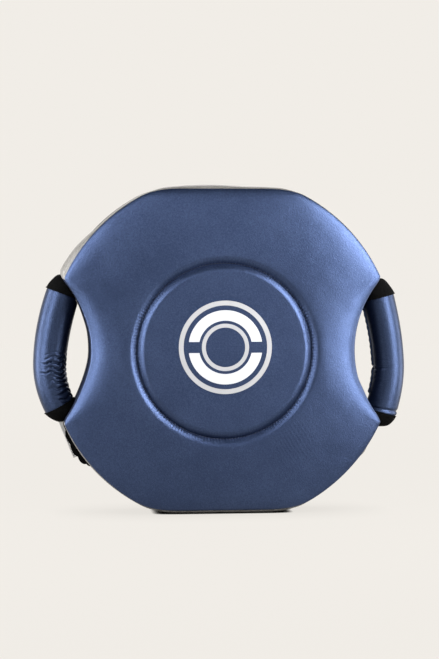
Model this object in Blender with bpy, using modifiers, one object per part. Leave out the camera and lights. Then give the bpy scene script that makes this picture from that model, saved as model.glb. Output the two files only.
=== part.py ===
"""Round punching shield with a padded handle across each side scallop.

Metres, +Z up. The struck face looks along -Y and the shield stands on its lower flat edge, with the
origin at the middle of that edge, on the floor.
"""

import math

import bmesh
import bpy
from mathutils import Vector

# Gaps between pieces that touch
FIT = 0.0003
HINGE_GAP = 0.0007

# Outline of the pad, seen from the front
BODY_RADIUS = 0.246
FLAT_WIDTH = 0.187
WAIST_WIDTH = 0.373
SCALLOP_RADIUS = 0.153
CORNER_BLEND = 0.012

# Depth of the pad and the roll of its edges
BODY_DEPTH = 0.100
RIM_WIDTH = 0.024
RIM_DEPTH = 0.013
CROWN = 0.007
GUSSET_BULGE = 0.003
BULGE_START = 0.06
BULGE_SHOULDER = 0.2
BULGE_FADE = math.radians(14)
REST_CUT = 0.0005
BACK_ROLL = 0.008
PIPING_RADIUS = 0.0022
PIPING_PROUD = 0.001

# Layers inside the cover
COVER_THICKNESS = 0.002
FACE_FOAM_SKIRT = 0.005
BOARD_THICKNESS = 0.006
BOARD_MARGIN = 0.001

# Stitched ring channel and the disc inside it
RING_RADIUS = 0.123
CHANNEL_WIDTH = 0.022
CHANNEL_DEPTH = 0.007
CHANNEL_POWER = 1.6
DISC_RISE = 0.003

# Side handles
HANDLE_RADIUS = 0.024
FINGER_GAP = 0.032
HANDLE_END_SETBACK = 0.007
HANDLE_SAG = 0.018
HANDLE_DEPTH_OFFSET = 0.0165
SLEEVE_THICKNESS = 0.0018
CUFF_BELOW = 0.0095
CUFF_ABOVE = 0.013
CUFF_PROUD = 0.0012
WEBBING_WIDTH = 0.025
WEBBING_THICKNESS = 0.003
ANCHOR_DEPTH = 0.020

# Forearm strap on the back, running up to the right at a tilt
STRAP_TILT = math.radians(22)
STRAP_DROP = 0.0405
STRAP_WIDTH = 0.061
STRAP_THICKNESS = 0.0025
STRAP_ANCHOR_LENGTH = 0.040
ARCH_HALF_SPAN = 0.085
ARCH_HEIGHT = 0.058
ARCH_POWER = 0.65
BAND_LEAD = 0.006
ARM_PAD_WIDTH = 0.069
ARM_PAD_HALF_LENGTH = 0.052
ARM_PAD_THICKNESS = 0.006
TAIL_PROUD = 0.008
TAPE_THICKNESS = 0.0012
TAPE_MARGIN = 0.003
LANDING_WIDTH = 0.086
LANDING_DROP = 0.010
LANDING_THICKNESS = 0.0025
LANDING_PROUD = 0.003

# Hand grip above the forearm strap
GRIP_OFFSET = 0.131
GRIP_WEB_WIDTH = 0.025
GRIP_WEB_THICKNESS = 0.003
GRIP_HALF_SPAN = 0.062
GRIP_HEIGHT = 0.044
GRIP_FOOT = 0.036
GRIP_SLEEVE_HALF_LENGTH = 0.040
GRIP_SLEEVE_HALF_WIDTH = 0.017
GRIP_SLEEVE_HALF_DEPTH = 0.012
PATCH_WIDTH = 0.040
PATCH_LENGTH = 0.030
PATCH_THICKNESS = 0.0012

# Vent eyelets
EYELET_SPREAD = 0.060
EYELET_INSET = 0.0315
EYELET_BORE = 0.0033
EYELET_BARREL = 0.0045
EYELET_FLANGE = 0.0078
EYELET_LIP = 0.0012
EYELET_REACH = 0.005

# Facets
CORNER_SPREAD = math.radians(1.4)
SCALLOP_STEPS = 7
ARC_STEPS = 7
FLAT_STEPS = 4
HANDLE_SIDES = 16
HANDLE_STEPS = 12
WEBBING_STEPS = 16
ARCH_STEPS = 20
DISC_SIDES = 48
EYELET_SIDES = 16

# Values worked out from the sizes above
FLAT_RISE = math.sqrt(BODY_RADIUS**2 - (FLAT_WIDTH / 2) ** 2)
CENTRE_Z = FLAT_RISE + GUSSET_BULGE - REST_CUT
SCALLOP_OFFSET = WAIST_WIDTH / 2 + SCALLOP_RADIUS
BACK_Y = BODY_DEPTH / 2
FACE_HEIGHT = RIM_DEPTH + CROWN
CHANNEL_EDGE = RING_RADIUS + CHANNEL_WIDTH / 2
SEAM_Y = FACE_HEIGHT + DISC_RISE - BODY_DEPTH / 2
FOAM_SPLIT_Y = SEAM_Y + FACE_FOAM_SKIRT
BACK_SEAM_Y = BACK_Y - BACK_ROLL
PIPING_Y = BACK_SEAM_Y - FIT - PIPING_RADIUS
GUSSET_FRONT_Y = SEAM_Y + FIT
GUSSET_BACK_Y = PIPING_Y - PIPING_RADIUS - FIT
BOARD_BACK_Y = BACK_Y - COVER_THICKNESS - FIT
BOARD_FRONT_Y = BOARD_BACK_Y - BOARD_THICKNESS
HANDLE_REACH = WAIST_WIDTH / 2 + FINGER_GAP + HANDLE_RADIUS
HANDLE_WALL_GAP = PIPING_PROUD + FIT
STRAP_ORIGIN = Vector((0.0, BACK_Y, CENTRE_Z - STRAP_DROP))
SIDEWAYS = (0.0, -STRAP_TILT, 0.0)
FACE_ON = (math.pi / 2, -STRAP_TILT, 0.0)
STRAP_LAYER = FIT + STRAP_THICKNESS / 2
HOOK_BASE = 2 * FIT + LANDING_THICKNESS
LINING_BASE = HOOK_BASE + TAPE_THICKNESS + FIT
TAIL_LAYER = LINING_BASE + TAPE_THICKNESS + STRAP_LAYER
HINGE_REACH = ARCH_HALF_SPAN + BAND_LEAD
EYELET_RISE = FLAT_RISE - EYELET_INSET


# Materials


def finish(name, color, roughness, metallic=0.0):
    """A plain Principled material."""
    material = bpy.data.materials.new(name)
    material.use_nodes = True
    shader = material.node_tree.nodes["Principled BSDF"]
    shader.inputs["Base Color"].default_value = (*color, 1.0)
    shader.inputs["Roughness"].default_value = roughness
    shader.inputs["Metallic"].default_value = metallic
    return material


# Outline of the pad


def soft_min(first, second):
    """The smaller of two lengths, rounded where they are nearly equal."""
    overlap = max(CORNER_BLEND - abs(first - second), 0.0)
    return min(first, second) - overlap**2 / (4 * CORNER_BLEND)


def edge_radius(angle, inset=0.0):
    """Distance from the pad's centre to its outline, which is moved inwards by inset."""
    rise = max(abs(math.sin(angle)), 1e-6)
    radius = soft_min(BODY_RADIUS - inset, (FLAT_RISE - inset) / rise)
    reach = (SCALLOP_RADIUS + inset) ** 2 - (SCALLOP_OFFSET * rise) ** 2
    if reach > 0:
        radius = soft_min(radius, SCALLOP_OFFSET * abs(math.cos(angle)) - math.sqrt(reach))
    return radius


def corner_angle():
    """Angle above level at which the round edge meets the scallop."""
    cosine = (BODY_RADIUS**2 + SCALLOP_OFFSET**2 - SCALLOP_RADIUS**2) / (2 * BODY_RADIUS * SCALLOP_OFFSET)
    return math.acos(cosine)


def evenly(start, end, steps):
    """Values from start to end, both included."""
    return [start + (end - start) * step / steps for step in range(steps + 1)]


def quarter_angles():
    """Outline angles from level to upright, closer together round the corner."""
    corner = CORNER_ANGLE
    flat = math.asin(FLAT_RISE / BODY_RADIUS)
    sweep = math.asin(BODY_RADIUS * math.sin(corner) / SCALLOP_RADIUS)
    scallop = []
    for turn in evenly(0, sweep, SCALLOP_STEPS):
        across = SCALLOP_OFFSET - SCALLOP_RADIUS * math.cos(turn)
        scallop.append(math.atan2(SCALLOP_RADIUS * math.sin(turn), across))
    scallop = [angle for angle in scallop if angle < corner - 0.6 * CORNER_SPREAD]
    near = [corner - CORNER_SPREAD / 2, corner, corner + CORNER_SPREAD / 2, corner + CORNER_SPREAD]
    arc = evenly(corner + CORNER_SPREAD, flat, ARC_STEPS)[1:]
    top = evenly(flat, math.pi / 2, FLAT_STEPS)[1:]
    return scallop + near + arc + top


def outline_angles():
    """Angles of the whole outline, mirrored from one quarter."""
    quarter = quarter_angles()
    half = quarter + [math.pi - angle for angle in reversed(quarter[:-1])]
    return half + [angle + math.pi for angle in half[1:-1]]


def pad_point(angle, radius, y, floor=0.0):
    """A point at a polar place about the pad's centre, kept above the floor."""
    height = max(CENTRE_Z + radius * math.sin(angle), floor)
    return Vector((radius * math.cos(angle), y, height))


def edge_ring(inset, y):
    """The pad's outline at one depth."""
    return [pad_point(angle, edge_radius(angle, inset), y, inset) for angle in OUTLINE]


def wall_x(rise):
    """How far out the pad's side lies at a height above or below its centre."""
    low, high = 0.0, math.pi / 2
    for _ in range(40):
        middle = (low + high) / 2
        if edge_radius(middle) * math.sin(middle) < abs(rise):
            low = middle
        else:
            high = middle
    return edge_radius(low) * math.cos(low)


# Building objects


def add_object(name, data, material):
    """Link new data to the model and give it its material."""
    item = bpy.data.objects.new(name, data)
    data.materials.append(material)
    MODEL.objects.link(item)
    return item


def as_mesh(name, shape):
    """A mesh from a bmesh, facing outwards, with its round sides smooth."""
    bmesh.ops.recalc_face_normals(shape, faces=shape.faces)
    mesh = bpy.data.meshes.new(name)
    shape.to_mesh(mesh)
    shape.free()
    mesh.shade_smooth()
    mesh.set_sharp_from_angle(angle=math.radians(40))
    return mesh


def add_strips(shape, rows, wrap):
    """Triangles between rows of vertices, always split along the same diagonal."""
    count = len(rows[0])
    for row, following in zip(rows, rows[1:]):
        for index in range(count if wrap else count - 1):
            after = (index + 1) % count
            shape.faces.new((row[index], row[after], following[after]))
            shape.faces.new((row[index], following[after], following[index]))


def shell(name, outside, inside, wrap=True):
    """A closed wall between two grids of points, whose rows run the same way."""
    shape = bmesh.new()
    outer = [[shape.verts.new(point) for point in row] for row in outside]
    inner = [[shape.verts.new(point) for point in row] for row in inside]
    add_strips(shape, outer, wrap)
    add_strips(shape, inner, wrap)
    add_strips(shape, (outer[0], inner[0]), wrap)
    add_strips(shape, (outer[-1], inner[-1]), wrap)
    if not wrap:
        for column in (0, -1):
            edge = [row[column] for row in outer] + [row[column] for row in reversed(inner)]
            shape.faces.new(edge)
    return as_mesh(name, shape)


def loft(name, rings, centres=None):
    """A solid through rings of points, with plain caps or ones that fan out from two centres."""
    shape = bmesh.new()
    rows = [[shape.verts.new(point) for point in ring] for ring in rings]
    add_strips(shape, rows, True)
    for row, centre in zip((rows[0], rows[-1]), centres or (None, None)):
        if centre:
            hub = shape.verts.new(centre)
            for index, corner in enumerate(row):
                shape.faces.new((corner, row[(index + 1) % len(row)], hub))
        else:
            shape.faces.new(row)
    return as_mesh(name, shape)


def turned(name, profile, sides, material, place):
    """A profile of (radius, depth) points turned about the depth axis.

    The points run backwards up the inner side and forwards down the outer side.
    """
    mesh = bpy.data.meshes.new(name)
    points = [(radius, depth, 0.0) for radius, depth in profile]
    last = len(points) - 1
    edges = [(index, index + 1) for index in range(last)]
    if profile[0][0] > 0:
        edges.append((last, 0))
    mesh.from_pydata(points, edges, [])
    item = add_object(name, mesh, material)
    item.location = place
    screw = item.modifiers.new("Turn", "SCREW")
    screw.axis = "Y"
    screw.steps = sides
    screw.render_steps = sides
    screw.use_merge_vertices = True
    screw.merge_threshold = 0.00001
    screw.use_smooth_shade = True
    return item


def flat_outline(name, points, width, material, place, rotation):
    """A flat closed outline given a thickness on both sides of its plane."""
    curve = bpy.data.curves.new(name, "CURVE")
    curve.dimensions = "2D"
    curve.fill_mode = "BOTH"
    curve.extrude = width / 2
    spline = curve.splines.new("POLY")
    spline.points.add(len(points) - 1)
    for target, (across, up) in zip(spline.points, points):
        target.co = (across, up, 0.0, 1.0)
    spline.use_cyclic_u = True
    item = add_object(name, curve, material)
    item.location = place
    item.rotation_euler = rotation
    return item


def add_cutter(name, mesh):
    """A cutting shape, which is not part of the model."""
    item = bpy.data.objects.new(name, mesh)
    item.hide_render = True
    item.display_type = "WIRE"
    CUTTERS.objects.link(item)
    return item


def cut(item, cutter):
    """Take a cutter's shape out of an object."""
    boolean = item.modifiers.new("Cut " + cutter.name, "BOOLEAN")
    boolean.operation = "DIFFERENCE"
    boolean.solver = "EXACT"
    boolean.object = cutter


# Padded face


def face_loops(sink, rim_turns, face_shares, channel_shares):
    """Rings of the padded face from its edge seam to the stitched ring, sunk by a thickness."""
    loops = []
    for turn in rim_turns:
        inset = sink + (RIM_WIDTH - sink) * (1 - math.cos(turn))
        rim = (RIM_DEPTH - sink) * math.sin(turn)
        loops.append([crowned_point(angle, edge_radius(angle, inset), rim) for angle in OUTLINE])
    for share in face_shares:
        loop = []
        for angle in OUTLINE:
            radius = edge_radius(angle, RIM_WIDTH) * (1 - share) + CHANNEL_EDGE * share
            loop.append(crowned_point(angle, radius, RIM_DEPTH - sink))
        loops.append(loop)
    for share in channel_shares:
        radius = RING_RADIUS + FIT / 2 + share * CHANNEL_WIDTH / 2
        y = SEAM_Y + sink - FACE_HEIGHT + channel_sink(share)
        loops.append([pad_point(angle, radius, y) for angle in OUTLINE])
    return loops


def crowned_point(angle, radius, rim):
    """A point of the face outside the channel: the rolled rim's height, and the crown's on top."""
    outer = edge_radius(angle)
    share = (outer - radius) / (outer - CHANNEL_EDGE)
    return pad_point(angle, radius, SEAM_Y - rim - CROWN * (1 - (1 - share) ** 2))


def channel_sink(share):
    """How deep the stitched channel lies, from its seam at 0 to its edge at 1."""
    return CHANNEL_DEPTH * (1 - share) ** CHANNEL_POWER


def disc_profile(sink):
    """Radius and depth along the disc, from its centre out to the stitched ring."""
    inner = RING_RADIUS - CHANNEL_WIDTH / 2
    profile = []
    for share in (0.0, 0.35, 0.7, 1.0):
        profile.append((inner * share, SEAM_Y + sink - FACE_HEIGHT - DISC_RISE * (1 - share**2)))
    for share in (0.6, 0.25, 0.0):
        radius = RING_RADIUS - FIT / 2 - share * CHANNEL_WIDTH / 2
        profile.append((radius, SEAM_Y + sink - FACE_HEIGHT + channel_sink(share)))
    return profile


def build_face():
    """Ring panel, disc panel and the soft foam behind each."""
    fine_rim = [math.radians(turn) for turn in (0, 20, 42, 66, 90)]
    coarse_rim = [math.radians(turn) for turn in (0, 42, 90)]
    outside = face_loops(0, fine_rim, (0.33, 0.67, 1), (0.6, 0.25, 0))
    inside = face_loops(COVER_THICKNESS, coarse_rim, (1,), (0.25, 0))
    add_object("front_ring_panel", shell("front_ring_panel", outside, inside), BLUE)

    front = face_loops(COVER_THICKNESS + FIT, coarse_rim, (1,), (0.25, 0))
    hole = [pad_point(angle, RING_RADIUS + FIT / 2, FOAM_SPLIT_Y) for angle in OUTLINE]
    skirt = edge_ring(COVER_THICKNESS + FIT, FOAM_SPLIT_Y)
    add_object("ring_foam", shell("ring_foam", front, [skirt, hole]), SOFT_FOAM)

    centre = (0.0, 0.0, CENTRE_Z)
    panel = disc_profile(COVER_THICKNESS) + disc_profile(0)[::-1]
    turned("centre_disc_panel", panel, DISC_SIDES, BLUE, centre)
    foam = [(0.0, FOAM_SPLIT_Y), (RING_RADIUS - FIT / 2, FOAM_SPLIT_Y)]
    foam += disc_profile(COVER_THICKNESS + FIT)[::-1]
    turned("disc_foam", foam, DISC_SIDES, SOFT_FOAM, centre)


# Sides and core

def swell(angle, share):
    """How far the padded side stands out, at a share of the way from front seam to back seam."""
    lean = abs(math.asin(math.sin(angle))) - CORNER_ANGLE
    fade = min(max(lean / BULGE_FADE, 0.0), 1.0)
    shoulder = math.sin(math.pi * BULGE_SHOULDER)
    across = min(math.sin(math.pi * share) / shoulder, 1.0) if 0 < share < 1 else 0.0
    return GUSSET_BULGE * fade * fade * (3 - 2 * fade) * math.sqrt(across)


def side_point(angle, share, depth):
    """A point on the padded side, sunk into it by depth."""
    y = GUSSET_FRONT_Y + (GUSSET_BACK_Y - GUSSET_FRONT_Y) * share
    return pad_point(angle, edge_radius(angle, depth) + swell(angle, share), y, depth)


def add_gusset(name, first, last, material):
    """One strip of the side between two angles of the outline."""
    half_gap = FIT / (2 * BODY_RADIUS)
    first, last = first + half_gap, last - half_gap
    turns = [angle - turn for turn in (2 * math.pi, 0) for angle in OUTLINE]
    angles = [first] + [angle for angle in turns if first < angle < last] + [last]
    shares = (0.0, BULGE_START, BULGE_SHOULDER, 1 - BULGE_SHOULDER, 1 - BULGE_START, 1.0)
    outer, inner = [
        [[side_point(angle, share, depth) for angle in angles] for share in shares]
        for depth in (0, COVER_THICKNESS)
    ]
    return add_object(name, shell(name, outer, inner, wrap=False), material)


def add_core():
    """Firm foam block that fills the cover between the face foam and the board."""
    depth = COVER_THICKNESS + FIT
    share = (FOAM_SPLIT_Y + FIT - GUSSET_FRONT_Y) / (GUSSET_BACK_Y - GUSSET_FRONT_Y)
    rings = []
    for step in (share, BULGE_SHOULDER, 1 - BULGE_SHOULDER, 1 - BULGE_START, 1.0):
        rings.append([side_point(angle, step, depth) for angle in OUTLINE])
    behind_piping = 2 * PIPING_RADIUS - PIPING_PROUD + FIT
    rings.append(edge_ring(behind_piping, GUSSET_BACK_Y + FIT))
    rings.append(edge_ring(behind_piping, BOARD_FRONT_Y - FIT))
    centres = [Vector((0, FOAM_SPLIT_Y + FIT, CENTRE_Z)), Vector((0, BOARD_FRONT_Y - FIT, CENTRE_Z))]
    return add_object("shock_core", loft("shock_core", rings, centres), FIRM_FOAM)


def add_board():
    """Stiff board behind the core, set back from the rolled edge of the back panel."""
    inset = BACK_ROLL + BOARD_MARGIN
    rings = [edge_ring(inset, BOARD_FRONT_Y), edge_ring(inset, BOARD_BACK_Y)]
    centres = [Vector((0, BOARD_FRONT_Y, CENTRE_Z)), Vector((0, BOARD_BACK_Y, CENTRE_Z))]
    return add_object("backing_board", loft("backing_board", rings, centres), BOARD)


def add_back_panel():
    """Black back cover, turned forwards at its edge."""

    def rolled_edge(sink):
        roll = BACK_ROLL - sink
        rings = []
        for turn in evenly(0, math.pi / 2, 2):
            inset = sink + roll * (1 - math.cos(turn))
            rings.append(edge_ring(inset, BACK_SEAM_Y + roll * math.sin(turn)))
        return rings

    rings = rolled_edge(COVER_THICKNESS)[::-1] + rolled_edge(0)
    centres = [Vector((0, BACK_Y - COVER_THICKNESS, CENTRE_Z)), Vector((0, BACK_Y, CENTRE_Z))]
    return add_object("back_panel", loft("back_panel", rings, centres), BLACK)


def add_piping():
    """Round welt in the seam between the sides and the back panel."""
    inset = PIPING_RADIUS - PIPING_PROUD
    rings = []
    for turn in evenly(0, 2 * math.pi, 6)[:-1]:
        step = PIPING_RADIUS * math.cos(turn)
        y = PIPING_Y + PIPING_RADIUS * math.sin(turn)
        rings.append([pad_point(angle, edge_radius(angle, inset) + step, y) for angle in OUTLINE])
    add_object("back_piping", shell("back_piping", rings[:3], rings[:2:-1]), BLACK)


# Side handles


def handle_curve(rise):
    """Height above the handle's widest point, and how sharply that half of its centre line bends."""
    above = rise + HANDLE_SAG
    span = HANDLE_MEETS_PAD + math.copysign(HANDLE_SAG, above)
    return above, HANDLE_BOW / span**2


def handle_x(rise):
    """Where the handle's centre line lies at a height above or below the pad's centre."""
    above, bend = handle_curve(rise)
    return HANDLE_REACH - bend * above**2


def slant(rise):
    """How much wider a level slice of the handle is than the handle across its centre line."""
    above, bend = handle_curve(rise)
    return math.hypot(1, 2 * bend * above)


def round_slice(side, rise, centre, radius, wall_gap):
    """A level slice of a round handle, pressed flat where it meets the pad's side."""
    limit = wall_x(rise) + wall_gap
    points = []
    for turn in evenly(0, 2 * math.pi, HANDLE_SIDES)[:-1]:
        turn += math.pi / HANDLE_SIDES
        x = max(centre + radius * slant(rise) * math.cos(turn), limit)
        points.append(Vector((side * x, HANDLE_DEPTH_OFFSET + radius * math.sin(turn), CENTRE_Z + rise)))
    return points


def strap_slice(side, rise, clearance):
    """A level slice of the webbing, with its sides divided as the round slices are."""
    half_x = (WEBBING_THICKNESS / 2 + clearance) * slant(rise)
    half_y = WEBBING_WIDTH / 2 + clearance
    per_side = HANDLE_SIDES // 4
    corners = [(1, -1), (1, 1), (-1, 1), (-1, -1)]
    points = []
    for (x, y), (next_x, next_y) in zip(corners, corners[1:] + corners[:1]):
        for share in evenly(0, 1, per_side)[:-1]:
            across = handle_x(rise) + half_x * (x + (next_x - x) * share)
            depth = HANDLE_DEPTH_OFFSET + half_y * (y + (next_y - y) * share)
            points.append(Vector((side * across, depth, CENTRE_Z + rise)))
    return points


def webbing_mesh(name, side, clearance):
    """The webbing that runs through a handle and on into the core."""
    end = HANDLE_MEETS_PAD + ANCHOR_DEPTH + clearance
    corners = slice(None, None, HANDLE_SIDES // 4)
    rings = [strap_slice(side, rise, clearance)[corners] for rise in evenly(-end, end, WEBBING_STEPS)]
    return loft(name, rings)


def cuff_rings(side, up):
    """Slices of an end wrap, from the grip's end to its rounded tip on the pad's corner."""
    start = HANDLE_MEETS_PAD - CUFF_BELOW + FIT
    tip = HANDLE_MEETS_PAD + CUFF_ABOVE
    dome = HANDLE_MEETS_PAD
    radius = HANDLE_RADIUS + CUFF_PROUD
    rings = []
    for turn in (None, 0, 25, 45, 60, 72):
        if turn is None:
            rise, shrink = start, 1.0
        else:
            rise = dome + (tip - dome) * math.sin(math.radians(turn))
            shrink = math.cos(math.radians(turn))
        drift = ((rise - start) / (tip - start)) ** 2
        centre = handle_x(up * rise) * (1 - drift) + wall_x(rise) * drift
        rings.append(round_slice(side, up * rise, centre, radius * shrink, HANDLE_WALL_GAP))
    return rings


def build_handle(name, side, gusset, core):
    """Foam grip in its sleeve, the webbing through it and a wrap over each end."""
    end = HANDLE_MEETS_PAD - CUFF_BELOW - FIT
    levels = evenly(-end, end, HANDLE_STEPS)

    def slices(radius, wall_gap):
        return [round_slice(side, rise, handle_x(rise), radius, wall_gap) for rise in levels]

    sleeve_out = slices(HANDLE_RADIUS, HANDLE_WALL_GAP)
    sleeve_in = slices(HANDLE_RADIUS - SLEEVE_THICKNESS, HANDLE_WALL_GAP + SLEEVE_THICKNESS)
    sleeve = name + "_sleeve"
    add_object(sleeve, shell(sleeve, sleeve_out, sleeve_in), BLUE)

    foam_gap = HANDLE_WALL_GAP + SLEEVE_THICKNESS + FIT
    foam_out = slices(HANDLE_RADIUS - SLEEVE_THICKNESS - FIT, foam_gap)
    slot = [strap_slice(side, rise, FIT) for rise in levels]
    foam = name + "_core"
    turn = HANDLE_SIDES // 8
    slot = [ring[turn:] + ring[:turn] for ring in slot]
    add_object(foam, shell(foam, foam_out, slot), SOFT_FOAM)

    webbing = name + "_webbing"
    add_object(webbing, webbing_mesh(webbing, side, 0.0), BLACK)
    passage = add_cutter(name + "_passage", webbing_mesh(name + "_passage", side, FIT))
    cut(gusset, passage)
    cut(core, passage)
    for end_name, up in (("top", 1), ("bottom", -1)):
        cuff = f"{name}_cuff_{end_name}"
        cut(add_object(cuff, loft(cuff, cuff_rings(side, up)), BLACK), passage)


# Straps on the back

def strap_place(across, out):
    """World place of a point offset across the straps and out from the back."""
    return STRAP_ORIGIN + Vector((-math.sin(STRAP_TILT) * across, out, math.cos(STRAP_TILT) * across))


def reach_along(proud):
    """How far along the tilted strap its line passes the pad's edge, at the lower left."""
    run = BODY_RADIUS + proud
    drop = STRAP_DROP * math.cos(STRAP_TILT)
    slide = STRAP_DROP * math.sin(STRAP_TILT)
    return math.sqrt(run**2 - drop**2) - slide


def arch_rise(along, half_span, height):
    """Height of an arched strap over its feet."""
    share = min(abs(along) / half_span, 1.0)
    return height * (0.5 + 0.5 * math.cos(math.pi * share)) ** ARCH_POWER


def offset_path(path, distance):
    """A path of (along, out) points moved sideways by a distance."""
    moved = []
    for index, point in enumerate(path):
        before = Vector(path[max(index - 1, 0)])
        after = Vector(path[min(index + 1, len(path) - 1)])
        run = (after - before).normalized()
        moved.append((point[0] - run.y * distance, point[1] + run.x * distance))
    return moved


def band_path():
    """Centre line of the forearm band, from its hinge on the right to the tail's."""
    path = [(HINGE_REACH, STRAP_LAYER)]
    for along in evenly(ARCH_HALF_SPAN, -ARCH_HALF_SPAN, ARCH_STEPS):
        share = 0.5 - 0.5 * along / ARCH_HALF_SPAN
        base = STRAP_LAYER + (TAIL_LAYER - STRAP_LAYER) * share * share * (3 - 2 * share)
        path.append((along, base + arch_rise(along, ARCH_HALF_SPAN, ARCH_HEIGHT)))
    return path


def round_end(centre, radius, outwards):
    """Points round the end of a strap, from its upper to its lower side."""
    points = []
    for turn in evenly(math.pi / 2, -math.pi / 2, 4):
        points.append((centre[0] + outwards * radius * math.cos(turn), centre[1] + radius * math.sin(turn)))
    return points


def build_arm_strap():
    """Forearm band hinged at its sewn anchor, with a hook-and-loop tail hinged at its far end."""
    half = STRAP_THICKNESS / 2
    place = strap_place(0, 0)
    path = band_path()
    over = offset_path(path, -half)[1:]
    under = offset_path(path, half)[1:]
    tail_joint = -HINGE_REACH
    band_end = tail_joint + half + HINGE_GAP
    band = round_end(path[0], half, 1)[::-1] + over
    band += [(band_end, TAIL_LAYER + half), (band_end, TAIL_LAYER - half)] + under[::-1]
    flat_outline("arm_strap_band", band, STRAP_WIDTH, SILVER, place, SIDEWAYS)

    middle = [point for point in path if abs(point[0]) <= ARM_PAD_HALF_LENGTH]
    pad_over = offset_path(middle, half + FIT)
    pad_under = offset_path(middle, half + FIT + ARM_PAD_THICKNESS)
    flat_outline("arm_strap_pad", pad_over + pad_under[::-1], ARM_PAD_WIDTH, BLACK, place, SIDEWAYS)

    anchor_start = HINGE_REACH + half + HINGE_GAP
    anchor = box_outline(anchor_start, anchor_start + STRAP_ANCHOR_LENGTH, FIT, FIT + STRAP_THICKNESS)
    flat_outline("arm_strap_anchor", anchor, STRAP_WIDTH, SILVER, place, SIDEWAYS)

    tail_end = -reach_along(TAIL_PROUD)
    tail = round_end((tail_joint, TAIL_LAYER), half, 1)
    tail += [(tail_end, TAIL_LAYER - half), (tail_end, TAIL_LAYER + half)]
    flat_outline("arm_strap_tail", tail, STRAP_WIDTH, SILVER, place, SIDEWAYS)
    tape_start, tape_end = tail_joint - TAPE_MARGIN, tail_end + TAPE_MARGIN
    lining = box_outline(tape_end, tape_start, LINING_BASE, LINING_BASE + TAPE_THICKNESS)
    tape_width = STRAP_WIDTH - 2 * TAPE_MARGIN
    flat_outline("arm_strap_lining", lining, tape_width, BLACK, place, SIDEWAYS)

    add_landing(tail_joint)
    hook_end = -reach_along(-TAPE_MARGIN)
    hook = box_outline(hook_end, tape_start, HOOK_BASE, HOOK_BASE + TAPE_THICKNESS)
    flat_outline("hook_tape", hook, tape_width, BLACK, place, SIDEWAYS)


def box_outline(left, right, low, high):
    """Four corners of a box."""
    return [(left, low), (right, low), (right, high), (left, high)]


def add_landing(tail_joint):
    """Black landing pad under the tail, rounded where it runs past the pad's edge."""
    end = -reach_along(LANDING_PROUD)
    half = LANDING_WIDTH / 2
    bow = half / 2
    outline = [(tail_joint, -half), (tail_joint, half)]
    for turn in evenly(math.pi / 2, -math.pi / 2, 10):
        outline.append((end + bow - bow * math.cos(turn), half * math.sin(turn)))
    place = strap_place(-LANDING_DROP, FIT + LANDING_THICKNESS / 2)
    flat_outline("strap_landing", outline, LANDING_THICKNESS, BLACK, place, FACE_ON)


def grip_path():
    """Centre line of the hand grip's webbing, from foot to foot."""
    end = GRIP_HALF_SPAN + GRIP_FOOT
    base = FIT + GRIP_WEB_THICKNESS / 2
    arch = evenly(-GRIP_HALF_SPAN, GRIP_HALF_SPAN, ARCH_STEPS)
    path = [(along, base + arch_rise(along, GRIP_HALF_SPAN, GRIP_HEIGHT)) for along in arch]
    return [(-end, base)] + path + [(end, base)]


def sleeve_rings(path, shape):
    """Rings of local (along, out, across) offsets set square to a path."""
    rings = []
    for index in range(1, len(path) - 1):
        run = (Vector(path[index + 1]) - Vector(path[index - 1])).normalized()
        ring = []
        for across, out in shape:
            along = path[index][0] - run.y * out
            ring.append(Vector((along, path[index][1] + run.x * out, across)))
        rings.append(ring)
    return rings


def build_hand_grip():
    """Webbing arch sewn down at both feet, inside a padded sleeve."""
    path = grip_path()
    half = GRIP_WEB_THICKNESS / 2
    place = strap_place(GRIP_OFFSET, 0)
    webbing = offset_path(path, half) + offset_path(path, -half)[::-1]
    flat_outline("hand_grip_webbing", webbing, GRIP_WEB_WIDTH, BLACK, place, SIDEWAYS)

    inside = [index for index, point in enumerate(path) if abs(point[0]) <= GRIP_SLEEVE_HALF_LENGTH]
    run = path[inside[0] - 1 : inside[-1] + 2]
    outside, slot = [], []
    for turn in evenly(0, 2 * math.pi, HANDLE_SIDES)[:-1]:
        across, out = math.cos(turn), math.sin(turn)
        outside.append((GRIP_SLEEVE_HALF_WIDTH * across, GRIP_SLEEVE_HALF_DEPTH * out))
        reach = max(abs(across), abs(out))
        slot.append(((GRIP_WEB_WIDTH / 2 + FIT) * across / reach, (half + FIT) * out / reach))
    mesh = shell("hand_grip_sleeve", sleeve_rings(run, outside), sleeve_rings(run, slot))
    sleeve = add_object("hand_grip_sleeve", mesh, BLACK)
    sleeve.location = place
    sleeve.rotation_euler = SIDEWAYS

    low = 2 * FIT + GRIP_WEB_THICKNESS
    start = GRIP_HALF_SPAN + TAPE_MARGIN
    for side, name in ((-1, "hand_grip_patch_left"), (1, "hand_grip_patch_right")):
        ends = sorted((side * start, side * (start + PATCH_LENGTH)))
        patch = box_outline(ends[0], ends[1], low, low + PATCH_THICKNESS)
        flat_outline(name, patch, PATCH_WIDTH, BLACK, place, SIDEWAYS)


# Vents


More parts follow.
